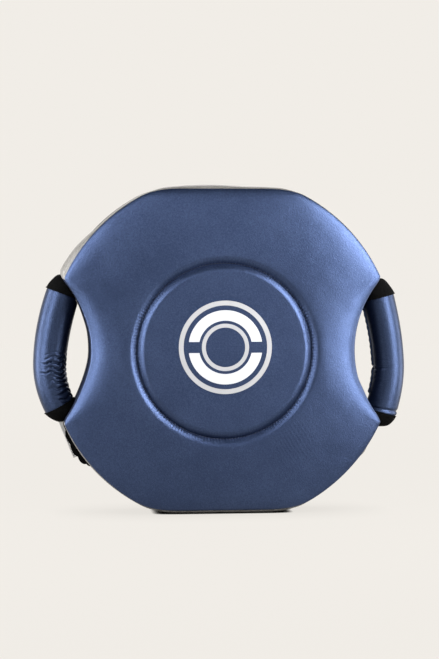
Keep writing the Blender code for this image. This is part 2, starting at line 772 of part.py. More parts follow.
def build_eyelets(panel, board):
    """Metal eyelets through the back panel and the board, two above and two below the straps."""
    front = -COVER_THICKNESS - EYELET_REACH
    profile = [
        (EYELET_BORE, front),
        (EYELET_BORE, FIT + EYELET_LIP / 2),
        ((EYELET_BORE + EYELET_BARREL) / 2, FIT + EYELET_LIP),
        ((EYELET_BARREL + EYELET_FLANGE) / 2, FIT + EYELET_LIP),
        (EYELET_FLANGE, FIT),
        (EYELET_BARREL, FIT),
        (EYELET_BARREL, front),
    ]
    for row, up in (("upper", 1), ("lower", -1)):
        for column, side in (("left", -1), ("right", 1)):
            name = f"eyelet_{row}_{column}"
            place = Vector((side * EYELET_SPREAD, BACK_Y, CENTRE_Z + up * EYELET_RISE))
            turned(name, profile, EYELET_SIDES, NICKEL, place)
            drill = bmesh.new()
            bmesh.ops.create_cone(
                drill,
                cap_ends=True,
                segments=EYELET_SIDES,
                radius1=EYELET_BARREL + FIT,
                radius2=EYELET_BARREL + FIT,
                depth=4 * BOARD_THICKNESS,
            )
            cutter = add_cutter(name + "_hole", as_mesh(name + "_hole", drill))
            cutter.location = place
            cutter.rotation_euler = (math.pi / 2, 0, 0)
            cut(panel, cutter)
            cut(board, cutter)


# Assembly

for old in list(bpy.data.objects):
    bpy.data.objects.remove(old, do_unlink=True)

MODEL = bpy.data.collections.new("punching_shield")
CUTTERS = bpy.data.collections.new("cutters")
for group in (MODEL, CUTTERS):
    bpy.context.scene.collection.children.link(group)

BLUE = finish("blue_cover", (0.055, 0.085, 0.22), 0.38, 0.35)
SILVER = finish("silver_cover", (0.50, 0.49, 0.47), 0.42, 0.2)
BLACK = finish("black_fabric", (0.012, 0.012, 0.013), 0.85)
SOFT_FOAM = finish("soft_foam", (0.62, 0.60, 0.55), 0.95)
FIRM_FOAM = finish("firm_foam", (0.10, 0.10, 0.11), 0.9)
BOARD = finish("backing_board", (0.03, 0.03, 0.03), 0.6)
NICKEL = finish("nickel", (0.60, 0.58, 0.55), 0.3, 1.0)

CORNER_ANGLE = corner_angle()
OUTLINE = outline_angles()
HANDLE_MEETS_PAD = BODY_RADIUS * math.sin(CORNER_ANGLE) - HANDLE_END_SETBACK
HANDLE_BOW = HANDLE_REACH - wall_x(HANDLE_MEETS_PAD)

build_face()
add_gusset("gusset_upper", CORNER_ANGLE, math.pi - CORNER_ANGLE, SILVER)
add_gusset("gusset_lower", math.pi + CORNER_ANGLE, 2 * math.pi - CORNER_ANGLE, SILVER)
left_gusset = add_gusset("gusset_left", math.pi - CORNER_ANGLE, math.pi + CORNER_ANGLE, BLUE)
right_gusset = add_gusset("gusset_right", -CORNER_ANGLE, CORNER_ANGLE, BLUE)
core_block = add_core()
backing = add_board()
back_cover = add_back_panel()
add_piping()
build_handle("handle_left", -1, left_gusset, core_block)
build_handle("handle_right", 1, right_gusset, core_block)
build_arm_strap()
build_hand_grip()
build_eyelets(back_cover, backing)
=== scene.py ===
"""The punching shield's looks: fine covers, handles, straps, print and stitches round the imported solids.

Metres, +Z up. The struck face looks along -Y, and the shield stands on its lower flat edge at z = 0.
"""

import math

import bmesh
import bpy
import numpy as np
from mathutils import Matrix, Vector, noise


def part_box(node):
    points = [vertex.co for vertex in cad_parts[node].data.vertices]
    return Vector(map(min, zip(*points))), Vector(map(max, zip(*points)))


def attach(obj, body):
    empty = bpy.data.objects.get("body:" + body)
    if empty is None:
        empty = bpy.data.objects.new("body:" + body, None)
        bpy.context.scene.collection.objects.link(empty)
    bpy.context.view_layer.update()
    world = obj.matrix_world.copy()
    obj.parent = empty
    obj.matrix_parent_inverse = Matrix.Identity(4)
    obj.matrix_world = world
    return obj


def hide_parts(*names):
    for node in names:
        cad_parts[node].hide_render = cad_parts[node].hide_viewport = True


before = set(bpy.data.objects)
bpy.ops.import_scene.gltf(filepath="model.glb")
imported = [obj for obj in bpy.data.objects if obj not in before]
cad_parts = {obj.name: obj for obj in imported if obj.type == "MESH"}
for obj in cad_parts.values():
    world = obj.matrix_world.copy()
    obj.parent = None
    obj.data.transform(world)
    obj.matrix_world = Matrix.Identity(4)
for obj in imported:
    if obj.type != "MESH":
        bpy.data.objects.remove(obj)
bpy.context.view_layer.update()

# Outline of the pad, seen from the front
BODY_RADIUS = 0.246
WAIST_WIDTH = 0.373
SCALLOP_RADIUS = 0.153
CORNER_BLEND = 0.012
SCALLOP_OFFSET = WAIST_WIDTH / 2 + SCALLOP_RADIUS

# Where the cover is cut fuller than a plain arc: degrees from the level, over how many, and how much
LEFT_LOW_CUT = (1, 18, 0.0047)
LEFT_HIGH_CUT = (7, 8, 0.0012)
RIGHT_LOW_CUT = (11, 6, 0.0026)

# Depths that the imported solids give
face_low, face_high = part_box("front_ring_panel")
back_low, back_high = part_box("back_panel")
side_low, side_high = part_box("gusset_left")
disc_low, disc_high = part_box("centre_disc_panel")
pipe_low, pipe_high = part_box("back_piping")
CENTRE_Z = (face_low.z + face_high.z) / 2
FLAT_RISE = (face_high.z - face_low.z) / 2
SEAM_Y = face_high.y
FACE_Y = face_low.y
DISC_Y = disc_low.y
SIDE_FRONT_Y = side_low.y
SIDE_BACK_Y = side_high.y
PIPING_Y = (pipe_low.y + pipe_high.y) / 2
BACK_SEAM_Y = back_low.y
BACK_Y = back_high.y
RING_RADIUS = (disc_high.x - disc_low.x) / 2

# Padding of the face
PAD_DEPTH = SEAM_Y - FACE_Y
PAD_POWER = 0.55
PAD_CREST = 0.06
CHANNEL_WIDTH = 0.022
CHANNEL_DEPTH = 0.007
CHANNEL_EDGE = RING_RADIUS + CHANNEL_WIDTH / 2
CHANNEL_POWER = 1.6
CHANNEL_STEPS = 18
DISC_FLAT = RING_RADIUS - CHANNEL_WIDTH / 2
EDGE_TURN = 0.0014
LINING_Y = SEAM_Y + 0.0047
LINING_INSET = 0.004
SEAM_GAP = 0.0002
BROAD_SLACK = 0.0007
SMALL_SLACK = 0.00022
SLACK_FADE = 0.012
PUCKER_REACH = 0.004
PUCKER_HEIGHT = 0.00035

# Steps from the channel to the outer seam, where they are closer, and how far in the outline's corners
# are evened out
PAD_SHARES = np.linspace(1, 0.09, 48)[None, 1:] ** 2
EVEN_SHARE = 0.5
EVEN_WIDTH = math.radians(9)

# Sides and back
GUSSET_THICKNESS = 0.002
STRIP_SHOWN = 0.0019
STRIP_FADE = 0.02
BACK_ROLL = 0.008
BACK_SINK = 0.0006
BACK_FADE = 0.02
BACK_INSET = 0.0022
PIPING_RADIUS = 0.0022
PIPING_PROUD = 0.001
STITCH_PITCH = 0.0042

# Columns round the pad
COLUMNS = 1100
CORNER_CROWDING = 3
CORNER_CROWD_WIDTH = math.radians(3)


# Shape of the outline


def soft_min(first, second):
    """The smaller of two lengths, rounded where they are nearly equal."""
    overlap = np.maximum(CORNER_BLEND - np.abs(first - second), 0.0)
    return np.minimum(first, second) - overlap**2 / (4 * CORNER_BLEND)


def smooth_step(value, start=0.0, span=1.0, height=1.0):
    """0 below start, the full height from start + span on, and smooth between."""
    share = np.clip((value - start) / span, 0.0, 1.0)
    return height * (share * share * (3 - 2 * share))


def gaussian(value, middle, width, height=1.0):
    """A bell of some height."""
    return height * np.exp(-(((value - middle) / width) ** 2))


def hand_cut(angle):
    """How much fuller than a plain arc the cover is cut beside each handle."""
    up = np.degrees(np.arcsin(np.sin(angle)))
    left = smooth_step(-up, *LEFT_LOW_CUT) + smooth_step(up, *LEFT_HIGH_CUT)
    return np.where(np.cos(angle) < 0, left, smooth_step(-up, *RIGHT_LOW_CUT))


def edge_radius(angle, inset=0.0):
    """Distance from the pad's centre to its outline, moved inwards by inset."""
    rise = np.maximum(np.abs(np.sin(angle)), 1e-6)
    radius = soft_min(BODY_RADIUS - inset, (FLAT_RISE - inset) / rise)
    reach = (SCALLOP_RADIUS + inset) ** 2 - (SCALLOP_OFFSET * rise) ** 2
    side = SCALLOP_OFFSET * np.abs(np.cos(angle)) - np.sqrt(np.maximum(reach, 0.0)) + hand_cut(angle)
    return np.where(reach > 0, soft_min(radius, side), radius)


CORNER_ANGLE = math.acos(
    (BODY_RADIUS**2 + SCALLOP_OFFSET**2 - SCALLOP_RADIUS**2) / (2 * BODY_RADIUS * SCALLOP_OFFSET)
)


def crowded_angles(first, last, count):
    """Angles from first to last, closer together at the pad's corners."""
    dense = np.linspace(first, last, 6000)
    weight = np.ones_like(dense)
    for turn in (0, math.pi, 2 * math.pi):
        for side in (-1, 1):
            away = (dense - turn - side * CORNER_ANGLE) / CORNER_CROWD_WIDTH
            weight += CORNER_CROWDING * np.exp(-(away**2))
    total = np.concatenate([[0.0], np.cumsum((weight[1:] + weight[:-1]) / 2)])
    return np.interp(np.linspace(0, total[-1], count), total, dense)


def pad_angles(count):
    """A column of angles all the way round, closer together at the pad's corners."""
    return crowded_angles(0, 2 * math.pi, count + 1)[:-1, None]


def full_turn(steps):
    """Even angles all the way round."""
    return np.linspace(0, 2 * math.pi, steps + 1)[:-1]


def wall_x(side, rise):
    """How far out the pad's left (-1) or right (1) side lies at a height above or below its centre."""
    low, high = 0.0, math.pi / 2
    for _ in range(40):
        middle = (low + high) / 2
        angle = math.copysign(middle, rise)
        angle = angle if side > 0 else math.pi - angle
        if edge_radius(angle) * math.sin(middle) < abs(rise):
            low = middle
        else:
            high = middle
    return float(edge_radius(angle) * math.cos(low))


def joined(x, y, z):
    """Points as one array, from their coordinates."""
    return np.stack(np.broadcast_arrays(x, y, z), axis=-1)


def place(angle, radius, y):
    """Points at polar places about the pad's centre, as an array of x, y, z."""
    return joined(radius * np.cos(angle), y, CENTRE_Z + radius * np.sin(angle))


def rim(angle, inset, y):
    """Points on the pad's outline, moved inwards by inset."""
    return place(angle, edge_radius(angle, inset), y)


def unit(vectors):
    """A list of vectors, each brought to length 1."""
    return vectors / np.linalg.norm(vectors, axis=1, keepdims=True)


def ripple(points, scale, seed=0.0):
    """Smooth noise between about -1 and 1 at an array of points."""
    flat = points.reshape(-1, 3) * scale + seed
    values = np.array([noise.noise(Vector(point)) for point in flat])
    return values.reshape(points.shape[:-1])


# Meshes

SHARP_EDGE = math.radians(50)
SAME_PLACE = 1e-6


def add_object(name, data):
    """A new object in the scene."""
    item = bpy.data.objects.new(name, data)
    bpy.context.scene.collection.objects.link(item)
    return item


def swept_faces(columns, profile, wrap, closed=True):
    """Quads of a profile swept through columns, with two caps where the sweep doesn't close on itself."""
    first = np.arange(columns if wrap else columns - 1)[:, None]
    along = np.arange(profile if closed else profile - 1)[None, :]
    following = (first + 1) % columns
    after = (along + 1) % profile
    corners = [(first, along), (first, after), (following, after), (following, along)]
    quads = np.stack([column * profile + row for column, row in corners], axis=-1)
    faces = quads.reshape(-1, 4).tolist()
    if not wrap:
        faces += [list(range(profile)), list(range((columns - 1) * profile, columns * profile))]
    return faces


def mesh_object(name, points, faces, material):
    """A linked mesh object with outward faces, merged poles and smooth shading."""
    mesh = bpy.data.meshes.new(name)
    mesh.from_pydata(np.asarray(points).reshape(-1, 3).tolist(), [], faces)
    shape = bmesh.new()
    shape.from_mesh(mesh)
    bmesh.ops.remove_doubles(shape, verts=shape.verts, dist=SAME_PLACE)
    bmesh.ops.recalc_face_normals(shape, faces=shape.faces)
    shape.to_mesh(mesh)
    shape.free()
    mesh.shade_smooth()
    mesh.set_sharp_from_angle(angle=SHARP_EDGE)
    mesh.materials.append(material)
    return add_object(name, mesh)


def add_piece(name, points, faces, finish, body="shield", replaces=(), fill=None, look=None):
    """A piece with its body and replaced nodes, in its slot's finish or in a copy of that finish with
    painted light or shade.
    """
    # A painted light finish is a lighter or darker copy of the slot's finish, which paints light or shade
    piece = mesh_object(name, points, faces, FINISHES[look or finish])
    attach(piece, body)
    if replaces:
        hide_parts(*replaces)
    return piece


def swept(name, points, finish, wrap, closed=True, **settings):
    """A piece whose points are columns of a profile."""
    faces = swept_faces(points.shape[0], points.shape[1], wrap, closed)
    return add_piece(name, points, faces, finish, **settings)


# Finishes


class Tree:
    """Shorthand for the nodes of a material or a world, whose textures follow fixed coordinates."""

    def __init__(self, name, owners=bpy.data.materials, shader="Principled BSDF", coordinates="Object"):
        self.owner = owners.new(name)
        self.owner.use_nodes = True
        self.nodes = self.owner.node_tree.nodes
        self.links = self.owner.node_tree.links
        self.shader = self.nodes[shader]
        self.coordinates = self.nodes.new("ShaderNodeTexCoord").outputs[coordinates]

    def put(self, node, socket, value):
        """Set one input, by a link or by its own value."""
        if isinstance(value, bpy.types.NodeSocket):
            self.links.new(value, node.inputs[socket])
        else:
            node.inputs[socket].default_value = value

    def add(self, kind, inputs, **settings):
        """A node with its settings and inputs."""
        node = self.nodes.new("ShaderNode" + kind)
        for setting, value in settings.items():
            setattr(node, setting, value)
        for socket, value in inputs.items():
            self.put(node, socket, value)
        return node

    def stretched(self, scale, turn=(0, 0, 0)):
        """Coordinates scaled and turned."""
        inputs = {"Vector": self.coordinates, "Scale": scale, "Rotation": turn}
        return self.add("Mapping", inputs).outputs["Vector"]

    def noise(self, scale, detail, vector=None):
        """Noise from 0 to 1."""
        inputs = {"Vector": vector or self.coordinates, "Scale": scale, "Detail": detail}
        return self.add("TexNoise", inputs).outputs["Fac"]

    def cells(self, scale, vector=None):
        """Soft cells, from 0 at their centres."""
        inputs = {"Vector": vector or self.coordinates, "Scale": scale, "Smoothness": 0.35}
        return self.add("TexVoronoi", inputs, feature="SMOOTH_F1").outputs["Distance"]

    def ramp(self, value, low, high, to_low, to_high):
        """A value moved from one range to another."""
        inputs = {"Value": value, "From Min": low, "From Max": high, "To Min": to_low, "To Max": to_high}
        return self.add("MapRange", inputs).outputs["Result"]

    def math(self, operation, first, second):
        """Two values put together."""
        return self.add("Math", {0: first, 1: second}, operation=operation).outputs["Value"]

    def mix(self, factor, first, second):
        """A colour between two colours."""
        return self.add("Mix", {0: factor, 6: first, 7: second}, data_type="RGBA").outputs[2]

    def bump(self, height, distance):
        """A bumped normal."""
        return self.add("Bump", {"Height": height, "Distance": distance}).outputs["Normal"]

    def surface(self, share, dark, light, height, depth, **sockets):
        """The finished material: between two colours, with a fine relief."""
        tint, relief = self.mix(share, dark, light), self.bump(height, depth)
        return self.finish(Base_Color=tint, Normal=relief, **sockets)

    def finish(self, **sockets):
        """Fill the shader's sockets, whose names have spaces for underscores."""
        for name, value in sockets.items():
            self.put(self.shader, name.replace("_", " "), value)
        return self.owner


def colour(red, green, blue):
    """An opaque colour."""
    return (red, green, blue, 1.0)


SPECKLE = 0.18
LEATHER_GRAIN = 0.0002
STRAP_TILT = math.radians(22)
WEBBING_PITCH = 0.0016


def leather(name, dark, light, metallic, roughness, cell=650, specular=0.5):
    """Coated synthetic leather: fine pebble grain, soft tone changes and a sparkle in the pigment."""
    tree = Tree(name)
    tone = tree.ramp(tree.noise(14, 3), 0.3, 0.7, 0.0, 1.0)
    sparkle = tree.math("ADD", tree.noise(1500, 1, tree.stretched((1, 1, 0.6))), tree.noise(420, 2))
    tint = tree.ramp(sparkle, 0.6, 1.4, -SPECKLE, SPECKLE)
    share = tree.math("ADD", tree.math("MULTIPLY", tone, 0.6), tree.math("MULTIPLY", tint, 4.0))
    pebbles = tree.math("MULTIPLY", tree.cells(cell), 0.7)
    height = tree.math("ADD", pebbles, tree.math("MULTIPLY", tree.noise(2 * cell, 3), 0.5))
    rough = tree.math("ADD", tree.ramp(tree.noise(60, 3), 0.3, 0.7, -0.03, 0.03), roughness)
    return tree.surface(
        share, dark, light, height, LEATHER_GRAIN,
        Metallic=metallic, Roughness=rough, Specular_IOR_Level=specular,
    )


def brushed_cloth(name, dark, light):
    """Matte short-pile cloth."""
    tree = Tree(name)
    fuzz = tree.noise(1300, 4)
    share = tree.math("MULTIPLY", tree.math("ADD", fuzz, tree.noise(45, 3)), 0.5)
    return tree.surface(share, dark, light, fuzz, 0.00018, Roughness=0.9, Specular_IOR_Level=0.03)


def woven(name, dark, light):
    """Webbing with ribs across it and a fine herringbone."""
    tree = Tree(name)
    turned = tree.stretched((1, 1, 1), (0, STRAP_TILT, 0))
    bands = []
    for direction, often, wavy, detail in (("X", 1, 0.6, 2.0), ("Z", 0.7, 0.4, 1.0)):
        scale = often / WEBBING_PITCH / math.pi
        inputs = {"Vector": turned, "Scale": scale, "Distortion": wavy, "Detail Scale": detail}
        wave = tree.add("TexWave", inputs, bands_direction=direction, wave_profile="SIN")
        bands.append(wave.outputs["Fac"])
    weave = tree.math("MULTIPLY", *bands)
    height = tree.math("ADD", weave, tree.math("MULTIPLY", tree.noise(2400, 2), 0.4))
    return tree.surface(height, dark, light, height, 0.0004, Roughness=0.72, Specular_IOR_Level=0.35)


def hooks(name, dark, light):
    """Hook-and-loop tape: a close field of bristly loops."""
    tree = Tree(name)
    dots = tree.cells(900, tree.stretched((1, 1, 1.2)))
    bristle = tree.math("MULTIPLY", tree.noise(3000, 3), 0.6)
    height = tree.math("ADD", tree.math("MULTIPLY", dots, -1.0), bristle)
    return tree.surface(dots, light, dark, height, 0.0006, Roughness=0.85, Specular_IOR_Level=0.3)


def foam(name, dark, light):
    """Cut open-cell foam."""
    tree = Tree(name)
    pores = tree.cells(900)
    return tree.surface(pores, light, dark, pores, 0.0004, Roughness=0.95, Specular_IOR_Level=0.15)


def fine_texture(name, dark, light, scale, detail, roughness):
    """A finish with one fine texture: pressed board or twisted thread."""
    tree = Tree(name)
    fine = tree.noise(scale, detail)
    return tree.surface(fine, dark, light, fine, 0.0001, Roughness=roughness)


def metal(name, dark, light):
    """Nickel plate with fine handling marks."""
    tree = Tree(name)
    marks = tree.noise(260, 4, tree.stretched((1, 1, 6)))
    rough = tree.ramp(marks, 0.3, 0.7, 0.2, 0.38)
    return tree.surface(marks, dark, light, marks, 0.00002, Metallic=1.0, Roughness=rough)


def print_ink(name, dark, light):
    """Screen-printed ink, which shows the leather's grain through it."""
    tree = Tree(name)
    fine = tree.noise(1500, 2)
    height = tree.math("ADD", tree.math("MULTIPLY", tree.cells(650), 0.7), tree.math("MULTIPLY", fine, 0.5))
    return tree.surface(fine, dark, light, height, 0.00007, Roughness=0.5)


# Name, kind, darker and lighter colour, and the kind's own settings
FINISH_TABLE = [
    ("blue_cover", leather, (0.030, 0.047, 0.103), (0.047, 0.071, 0.146), (0.85, 0.38)),
    # A darker copy of the blue cover for the grips and their seams: painted shade
    ("blue_grip_painted_shade", leather, (0.020, 0.032, 0.070), (0.032, 0.049, 0.102), (0.85, 0.36)),
    # A darker, dull copy of the blue cover for the side strips beside the handles: painted shade
    ("blue_wall_painted_shade", leather, (0.018, 0.023, 0.042), (0.028, 0.034, 0.06), (0.0, 0.8, 650, 0.0)),
    ("silver_cover", leather, (0.17, 0.163, 0.152), (0.24, 0.232, 0.22), (0.3, 0.5)),
    # A lighter copy of the silver cover for the forearm band, its anchor and its tail: painted light
    ("silver_strap_painted_light", leather, (0.42, 0.41, 0.395), (0.54, 0.53, 0.51), (0.0, 0.5)),
    ("black_cover", leather, (0.008, 0.008, 0.009), (0.018, 0.018, 0.02), (0.0, 0.5, 450)),
    ("black_wrap", brushed_cloth, (0.0012, 0.0012, 0.0012), (0.004, 0.004, 0.004), ()),
    ("webbing", woven, (0.006, 0.006, 0.007), (0.022, 0.022, 0.024), ()),
    ("hook_and_loop", hooks, (0.004, 0.004, 0.004), (0.03, 0.03, 0.03), ()),
    ("firm_foam", foam, (0.05, 0.05, 0.055), (0.13, 0.13, 0.14), ()),
    ("backing_board", fine_texture, (0.02, 0.02, 0.02), (0.04, 0.04, 0.04), (500, 3, 0.6)),
    ("nickel", metal, (0.5, 0.48, 0.45), (0.68, 0.66, 0.63), ()),
    ("print_grey", print_ink, (0.36, 0.36, 0.37), (0.45, 0.45, 0.46), ()),
    ("print_white", print_ink, (0.56, 0.57, 0.59), (0.63, 0.64, 0.66), ()),
    ("thread", fine_texture, (0.012, 0.018, 0.042), (0.05, 0.07, 0.15), (2200, 2, 0.55)),
]
FINISHES = {
    name: make(name, colour(*dark), colour(*light), *settings)
    for name, make, dark, light, settings in FINISH_TABLE
}


# Padded face

CREASE_PATCHES = [
    # middle x and height from the pad's centre, direction, half length, half width, pitch, depth
    (-0.150, -0.044, math.radians(38), 0.026, 0.026, 0.0046, 0.00006),
    (0.100, -0.125, math.radians(-57), 0.040, 0.036, 0.0048, 0.00006),
    (-0.112, -0.105, math.radians(48), 0.030, 0.026, 0.0052, 0.00005),
]


def creases(points):
    """Fine parallel creases in the places where the cover is drawn tight."""
    total = np.zeros(points.shape[:-1])
    drift = ripple(points, 28.0, 5.0)
    for x, rise, direction, half_length, half_width, pitch, depth in CREASE_PATCHES:
        across_x, across_z = -math.sin(direction), math.cos(direction)
        away_x, away_z = points[..., 0] - x, points[..., 2] - CENTRE_Z - rise
        along = away_x * math.cos(direction) + away_z * math.sin(direction)
        across = away_x * across_x + away_z * across_z
        fade = np.exp(-((along / half_length) ** 2) - (across / half_width) ** 2)
        total += depth * fade * np.sin(2 * math.pi * across / pitch + 3.5 * drift)
    return total


def slack(points):
    """How far the cover stands out of its even shape: broad swells, small ripples and creases."""
    flat = points.copy()
    flat[..., 1] = 0.0
    return BROAD_SLACK * ripple(flat, 11.0) + SMALL_SLACK * ripple(flat, 45.0, 9.0) + creases(flat)


def pucker(angle, away):
    """Gathering beside the ring seam, one rise for each stitch."""
    turns = round(2 * math.pi * RING_RADIUS / STITCH_PITCH)
    return PUCKER_HEIGHT * np.cos(turns * angle) * np.exp(-away / PUCKER_REACH)


def channel_sink(share):
    """Depth of the stitched channel, from its seam at 0 to its edge at 1."""
    return CHANNEL_DEPTH * (1 - share) ** CHANNEL_POWER


def pad_swell(share):
    """How far the padding stands out, from 0 at the outer seam to 1 at the channel's edge."""
    short = 1 - share**PAD_POWER
    return 1 - (np.hypot(short, PAD_CREST) - PAD_CREST) / (math.hypot(1, PAD_CREST) - PAD_CREST)


def even_edge(angles):
    """The outline's radius evened out round the pad, so that its corners fade towards the middle."""
    turns = full_turn(720)
    away = np.minimum(turns, 2 * math.pi - turns)
    weight = np.exp(-((away / EVEN_WIDTH) ** 2))
    weight = np.fft.rfft(weight / weight.sum())
    smooth = np.fft.irfft(np.fft.rfft(edge_radius(turns)) * weight, len(turns))
    return np.interp(angles, turns, smooth, period=2 * math.pi)


def build_face():
    """Padded ring of the face: channel, crown, rolled rim and turned edge, closed behind."""
    angles = pad_angles(COLUMNS)
    outer = edge_radius(angles)
    channel = 1 - np.cos(np.linspace(0, math.pi / 2, CHANNEL_STEPS)[None, :])
    channel_radius = RING_RADIUS + SEAM_GAP + channel * CHANNEL_WIDTH / 2
    channel_y = FACE_Y + channel_sink(channel) + pucker(angles, channel_radius - RING_RADIUS)
    radius = outer + (CHANNEL_EDGE - outer) * PAD_SHARES
    even = even_edge(angles)
    inner_share = (even - radius) / (even - CHANNEL_EDGE)
    share = PAD_SHARES + (inner_share - PAD_SHARES) * smooth_step(PAD_SHARES / EVEN_SHARE)
    y = SEAM_Y - PAD_DEPTH * pad_swell(np.clip(share, 0.0, 1.0))
    front = np.concatenate([place(angles, channel_radius, channel_y), place(angles, radius, y)], axis=1)
    front[..., 1] -= slack(front) * fade_at_edges(front, angles)
    edge = []
    for turn in (0.35, 0.7, 1.0):
        inset = EDGE_TURN * (1 - math.cos(turn * math.pi / 2))
        y = SEAM_Y - EDGE_TURN * (1 - math.sin(turn * math.pi / 2))
        edge.append(rim(angles, inset, y))
    behind = [
        rim(angles, LINING_INSET, SEAM_Y),
        rim(angles, LINING_INSET, LINING_Y),
        place(angles, RING_RADIUS + SEAM_GAP, LINING_Y),
    ]
    points = np.concatenate([front, *edge, *behind], axis=1)
    points[..., 2] += STRIP_SHOWN * (1 - smooth_step(points[..., 2] / STRIP_FADE))
    swept("face_ring", points, "blue_cover", True, replaces=("front_ring_panel", "ring_foam"), fill=0.85)


def fade_at_edges(points, angles):
    """1 over the open face, down to 0 at the seam of the rim and at the stitched ring."""
    radius = np.hypot(points[..., 0], points[..., 2] - CENTRE_Z)
    from_rim, from_ring = edge_radius(angles) - radius, radius - RING_RADIUS
    return smooth_step(from_rim / SLACK_FADE) * smooth_step(from_ring / SLACK_FADE)


def disc_y(points):
    """Depth of the disc's surface under points with an x and a height."""
    radius = np.hypot(points[..., 0], points[..., 2] - CENTRE_Z)
    rise = (FACE_Y - DISC_Y) * (1 - np.minimum(radius / DISC_FLAT, 1.0) ** 2)
    share = np.clip((RING_RADIUS - radius) / (CHANNEL_WIDTH / 2), 0.0, 1.0)
    y = FACE_Y - rise + channel_sink(share)
    return y - slack(points) * smooth_step((RING_RADIUS - radius) / SLACK_FADE)


def build_disc():
    """Padded disc inside the stitched ring."""
    angles = full_turn(736)[:, None]
    flat = np.linspace(0, 1, 26)[None, :] ** 0.8 * DISC_FLAT
    channel = 1 - np.cos(np.linspace(math.pi / 2, 0, CHANNEL_STEPS)[None, 1:])
    rolled = RING_RADIUS - SEAM_GAP - channel * CHANNEL_WIDTH / 2
    radius = np.concatenate([flat, rolled], axis=1) + 0 * angles
    front = place(angles, radius, 0.0)
    front[..., 1] = disc_y(front) + pucker(angles, RING_RADIUS - radius)
    behind = [place(angles, RING_RADIUS - SEAM_GAP, LINING_Y), place(angles, 0.0, LINING_Y)]
    points = np.concatenate([front, *behind], axis=1)
    swept("face_disc", points, "blue_cover", True, closed=False,
          replaces=("centre_disc_panel", "disc_foam"), fill=0.85)


# Printed target

PRINT_X = 0.0001
PRINT_RISE = 0.0058
PRINT_THICKNESS = 0.00012
PRINT_GAP = 0.0155
OUTER_LINE = (0.0586, 0.0653)
BROAD_BAND = (0.0373, 0.0519)
INNER_LINE = (0.0276, 0.0331)


def add_print(name, angles, radii, finish, wrap):
    """A strip of ink over the disc between two radii, whose ends may change with the radius."""
    x = PRINT_X + radii * np.cos(angles)
    z = CENTRE_Z + PRINT_RISE + radii * np.sin(angles)
    top = joined(x, 0.0, z)
    top[..., 1] = disc_y(top) - PRINT_THICKNESS
    under = top[:, ::-1].copy()
    under[..., 1] += PRINT_THICKNESS * 1.5
    swept(name, np.concatenate([top, under], axis=1), finish, wrap)


def build_print():
    """Two thin rings, and a broad ring between them that a level gap splits in two."""
    for name, line in (("print_outer_ring", OUTER_LINE), ("print_inner_ring", INNER_LINE)):
        add_print(name, full_turn(240)[:, None], np.linspace(*line, 5)[None, :], "print_grey", True)
    radii = np.linspace(*BROAD_BAND, 7)[None, :]
    cut = np.arcsin(PRINT_GAP / 2 / radii)
    for name, start in (("print_band_upper", 0.0), ("print_band_lower", math.pi)):
        angles = start + cut + (math.pi - 2 * cut) * np.linspace(0, 1, 121)[:, None]
        add_print(name, angles, radii, "print_white", False)


# Stitches

RING_STITCH_LENGTH = 0.0029
RING_THREAD_RADIUS = 0.00045
RING_THREAD_OUT = 0.0007
RING_THREAD_RISE = 0.0006
THREAD_RADIUS = 0.00042


def add_stitches(points, faces, places, outwards, length, radius):
    """Add sewn stitches, one in each step of a line: short rounded dashes with dipping ends."""
    sides, rings = 6, 5
    pattern = swept_faces(rings, sides, False)
    for start, end, out in zip(places, places[1:], outwards):
        run = end - start
        run = run / np.linalg.norm(run)
        across = np.cross(run, out)
        first = len(points)
        for ring in range(rings):
            share = ring / (rings - 1) * 2 - 1
            thick = radius * math.sqrt(max(1 - share**4, 0.06))
            lift = -radius * 1.2 * share**4
            for side in range(sides):
                turn = 2 * math.pi * side / sides
                offset = out * (math.sin(turn) * thick + lift) + across * math.cos(turn) * thick
                points.append((start + end) / 2 + run * share * length / 2 + offset)
        faces += [[first + corner for corner in face] for face in pattern]


def build_ring_stitches():
    """Thread along the bottom of the stitched ring."""
    count = round(2 * math.pi * RING_RADIUS / STITCH_PITCH)
    turns = np.linspace(0, 2 * math.pi, count + 1)
    places = place(turns, RING_RADIUS + RING_THREAD_OUT, FACE_Y + CHANNEL_DEPTH - RING_THREAD_RISE)
    outwards = np.tile([0.0, -1.0, 0.0], (count, 1))
    points, faces = [], []
    add_stitches(points, faces, places, outwards, RING_STITCH_LENGTH, RING_THREAD_RADIUS)
    add_piece("ring_stitches", np.array(points), faces, "thread")


# Sides and back

# Where the side stands out along the flats and over the core's round: degrees from the level,
# over how many, and how much
FLAT_SWELL = (62, 9, 0.0025)
CORE_COVER = (27, 5, 0.0010)

# Bells: the swell at the top against x, and the turned edge of each lower corner against degrees
TOP_SWELL = (-0.022, 0.048, 0.0030)
LEFT_EDGE = (-38, 17, 0.0009)
RIGHT_EDGE = (-35.8, 1.6, 0.0016)

# How far it stands out above the left handle, against degrees above the level
CORNER_SWELL = (
    [22.0, 24.5, 26.5, 29.0, 32.0, 35.0, 40.0, 46.0],
    [0.0, 0.0040, 0.0080, 0.0078, 0.0070, 0.0062, 0.0030, 0.0],
)
SEAM_BACK = 0.0006
GATHER = 0.00025
WAVE = 0.0003
GATHER_FADE = 0.005
WAVE_FADE = 0.01
PLAIN_EDGE = 0.0004

# Strips of the side: node, first and last angle, columns and finish
SIDE_STRIPS = [
    ("gusset_upper", CORNER_ANGLE, math.pi - CORNER_ANGLE, 320, "silver_cover"),
    ("gusset_lower", math.pi + CORNER_ANGLE, 2 * math.pi - CORNER_ANGLE, 320, "silver_cover"),
    ("gusset_left", math.pi - CORNER_ANGLE, math.pi + CORNER_ANGLE, 150, "blue_cover"),
    ("gusset_right", -CORNER_ANGLE, CORNER_ANGLE, 150, "blue_cover"),
]


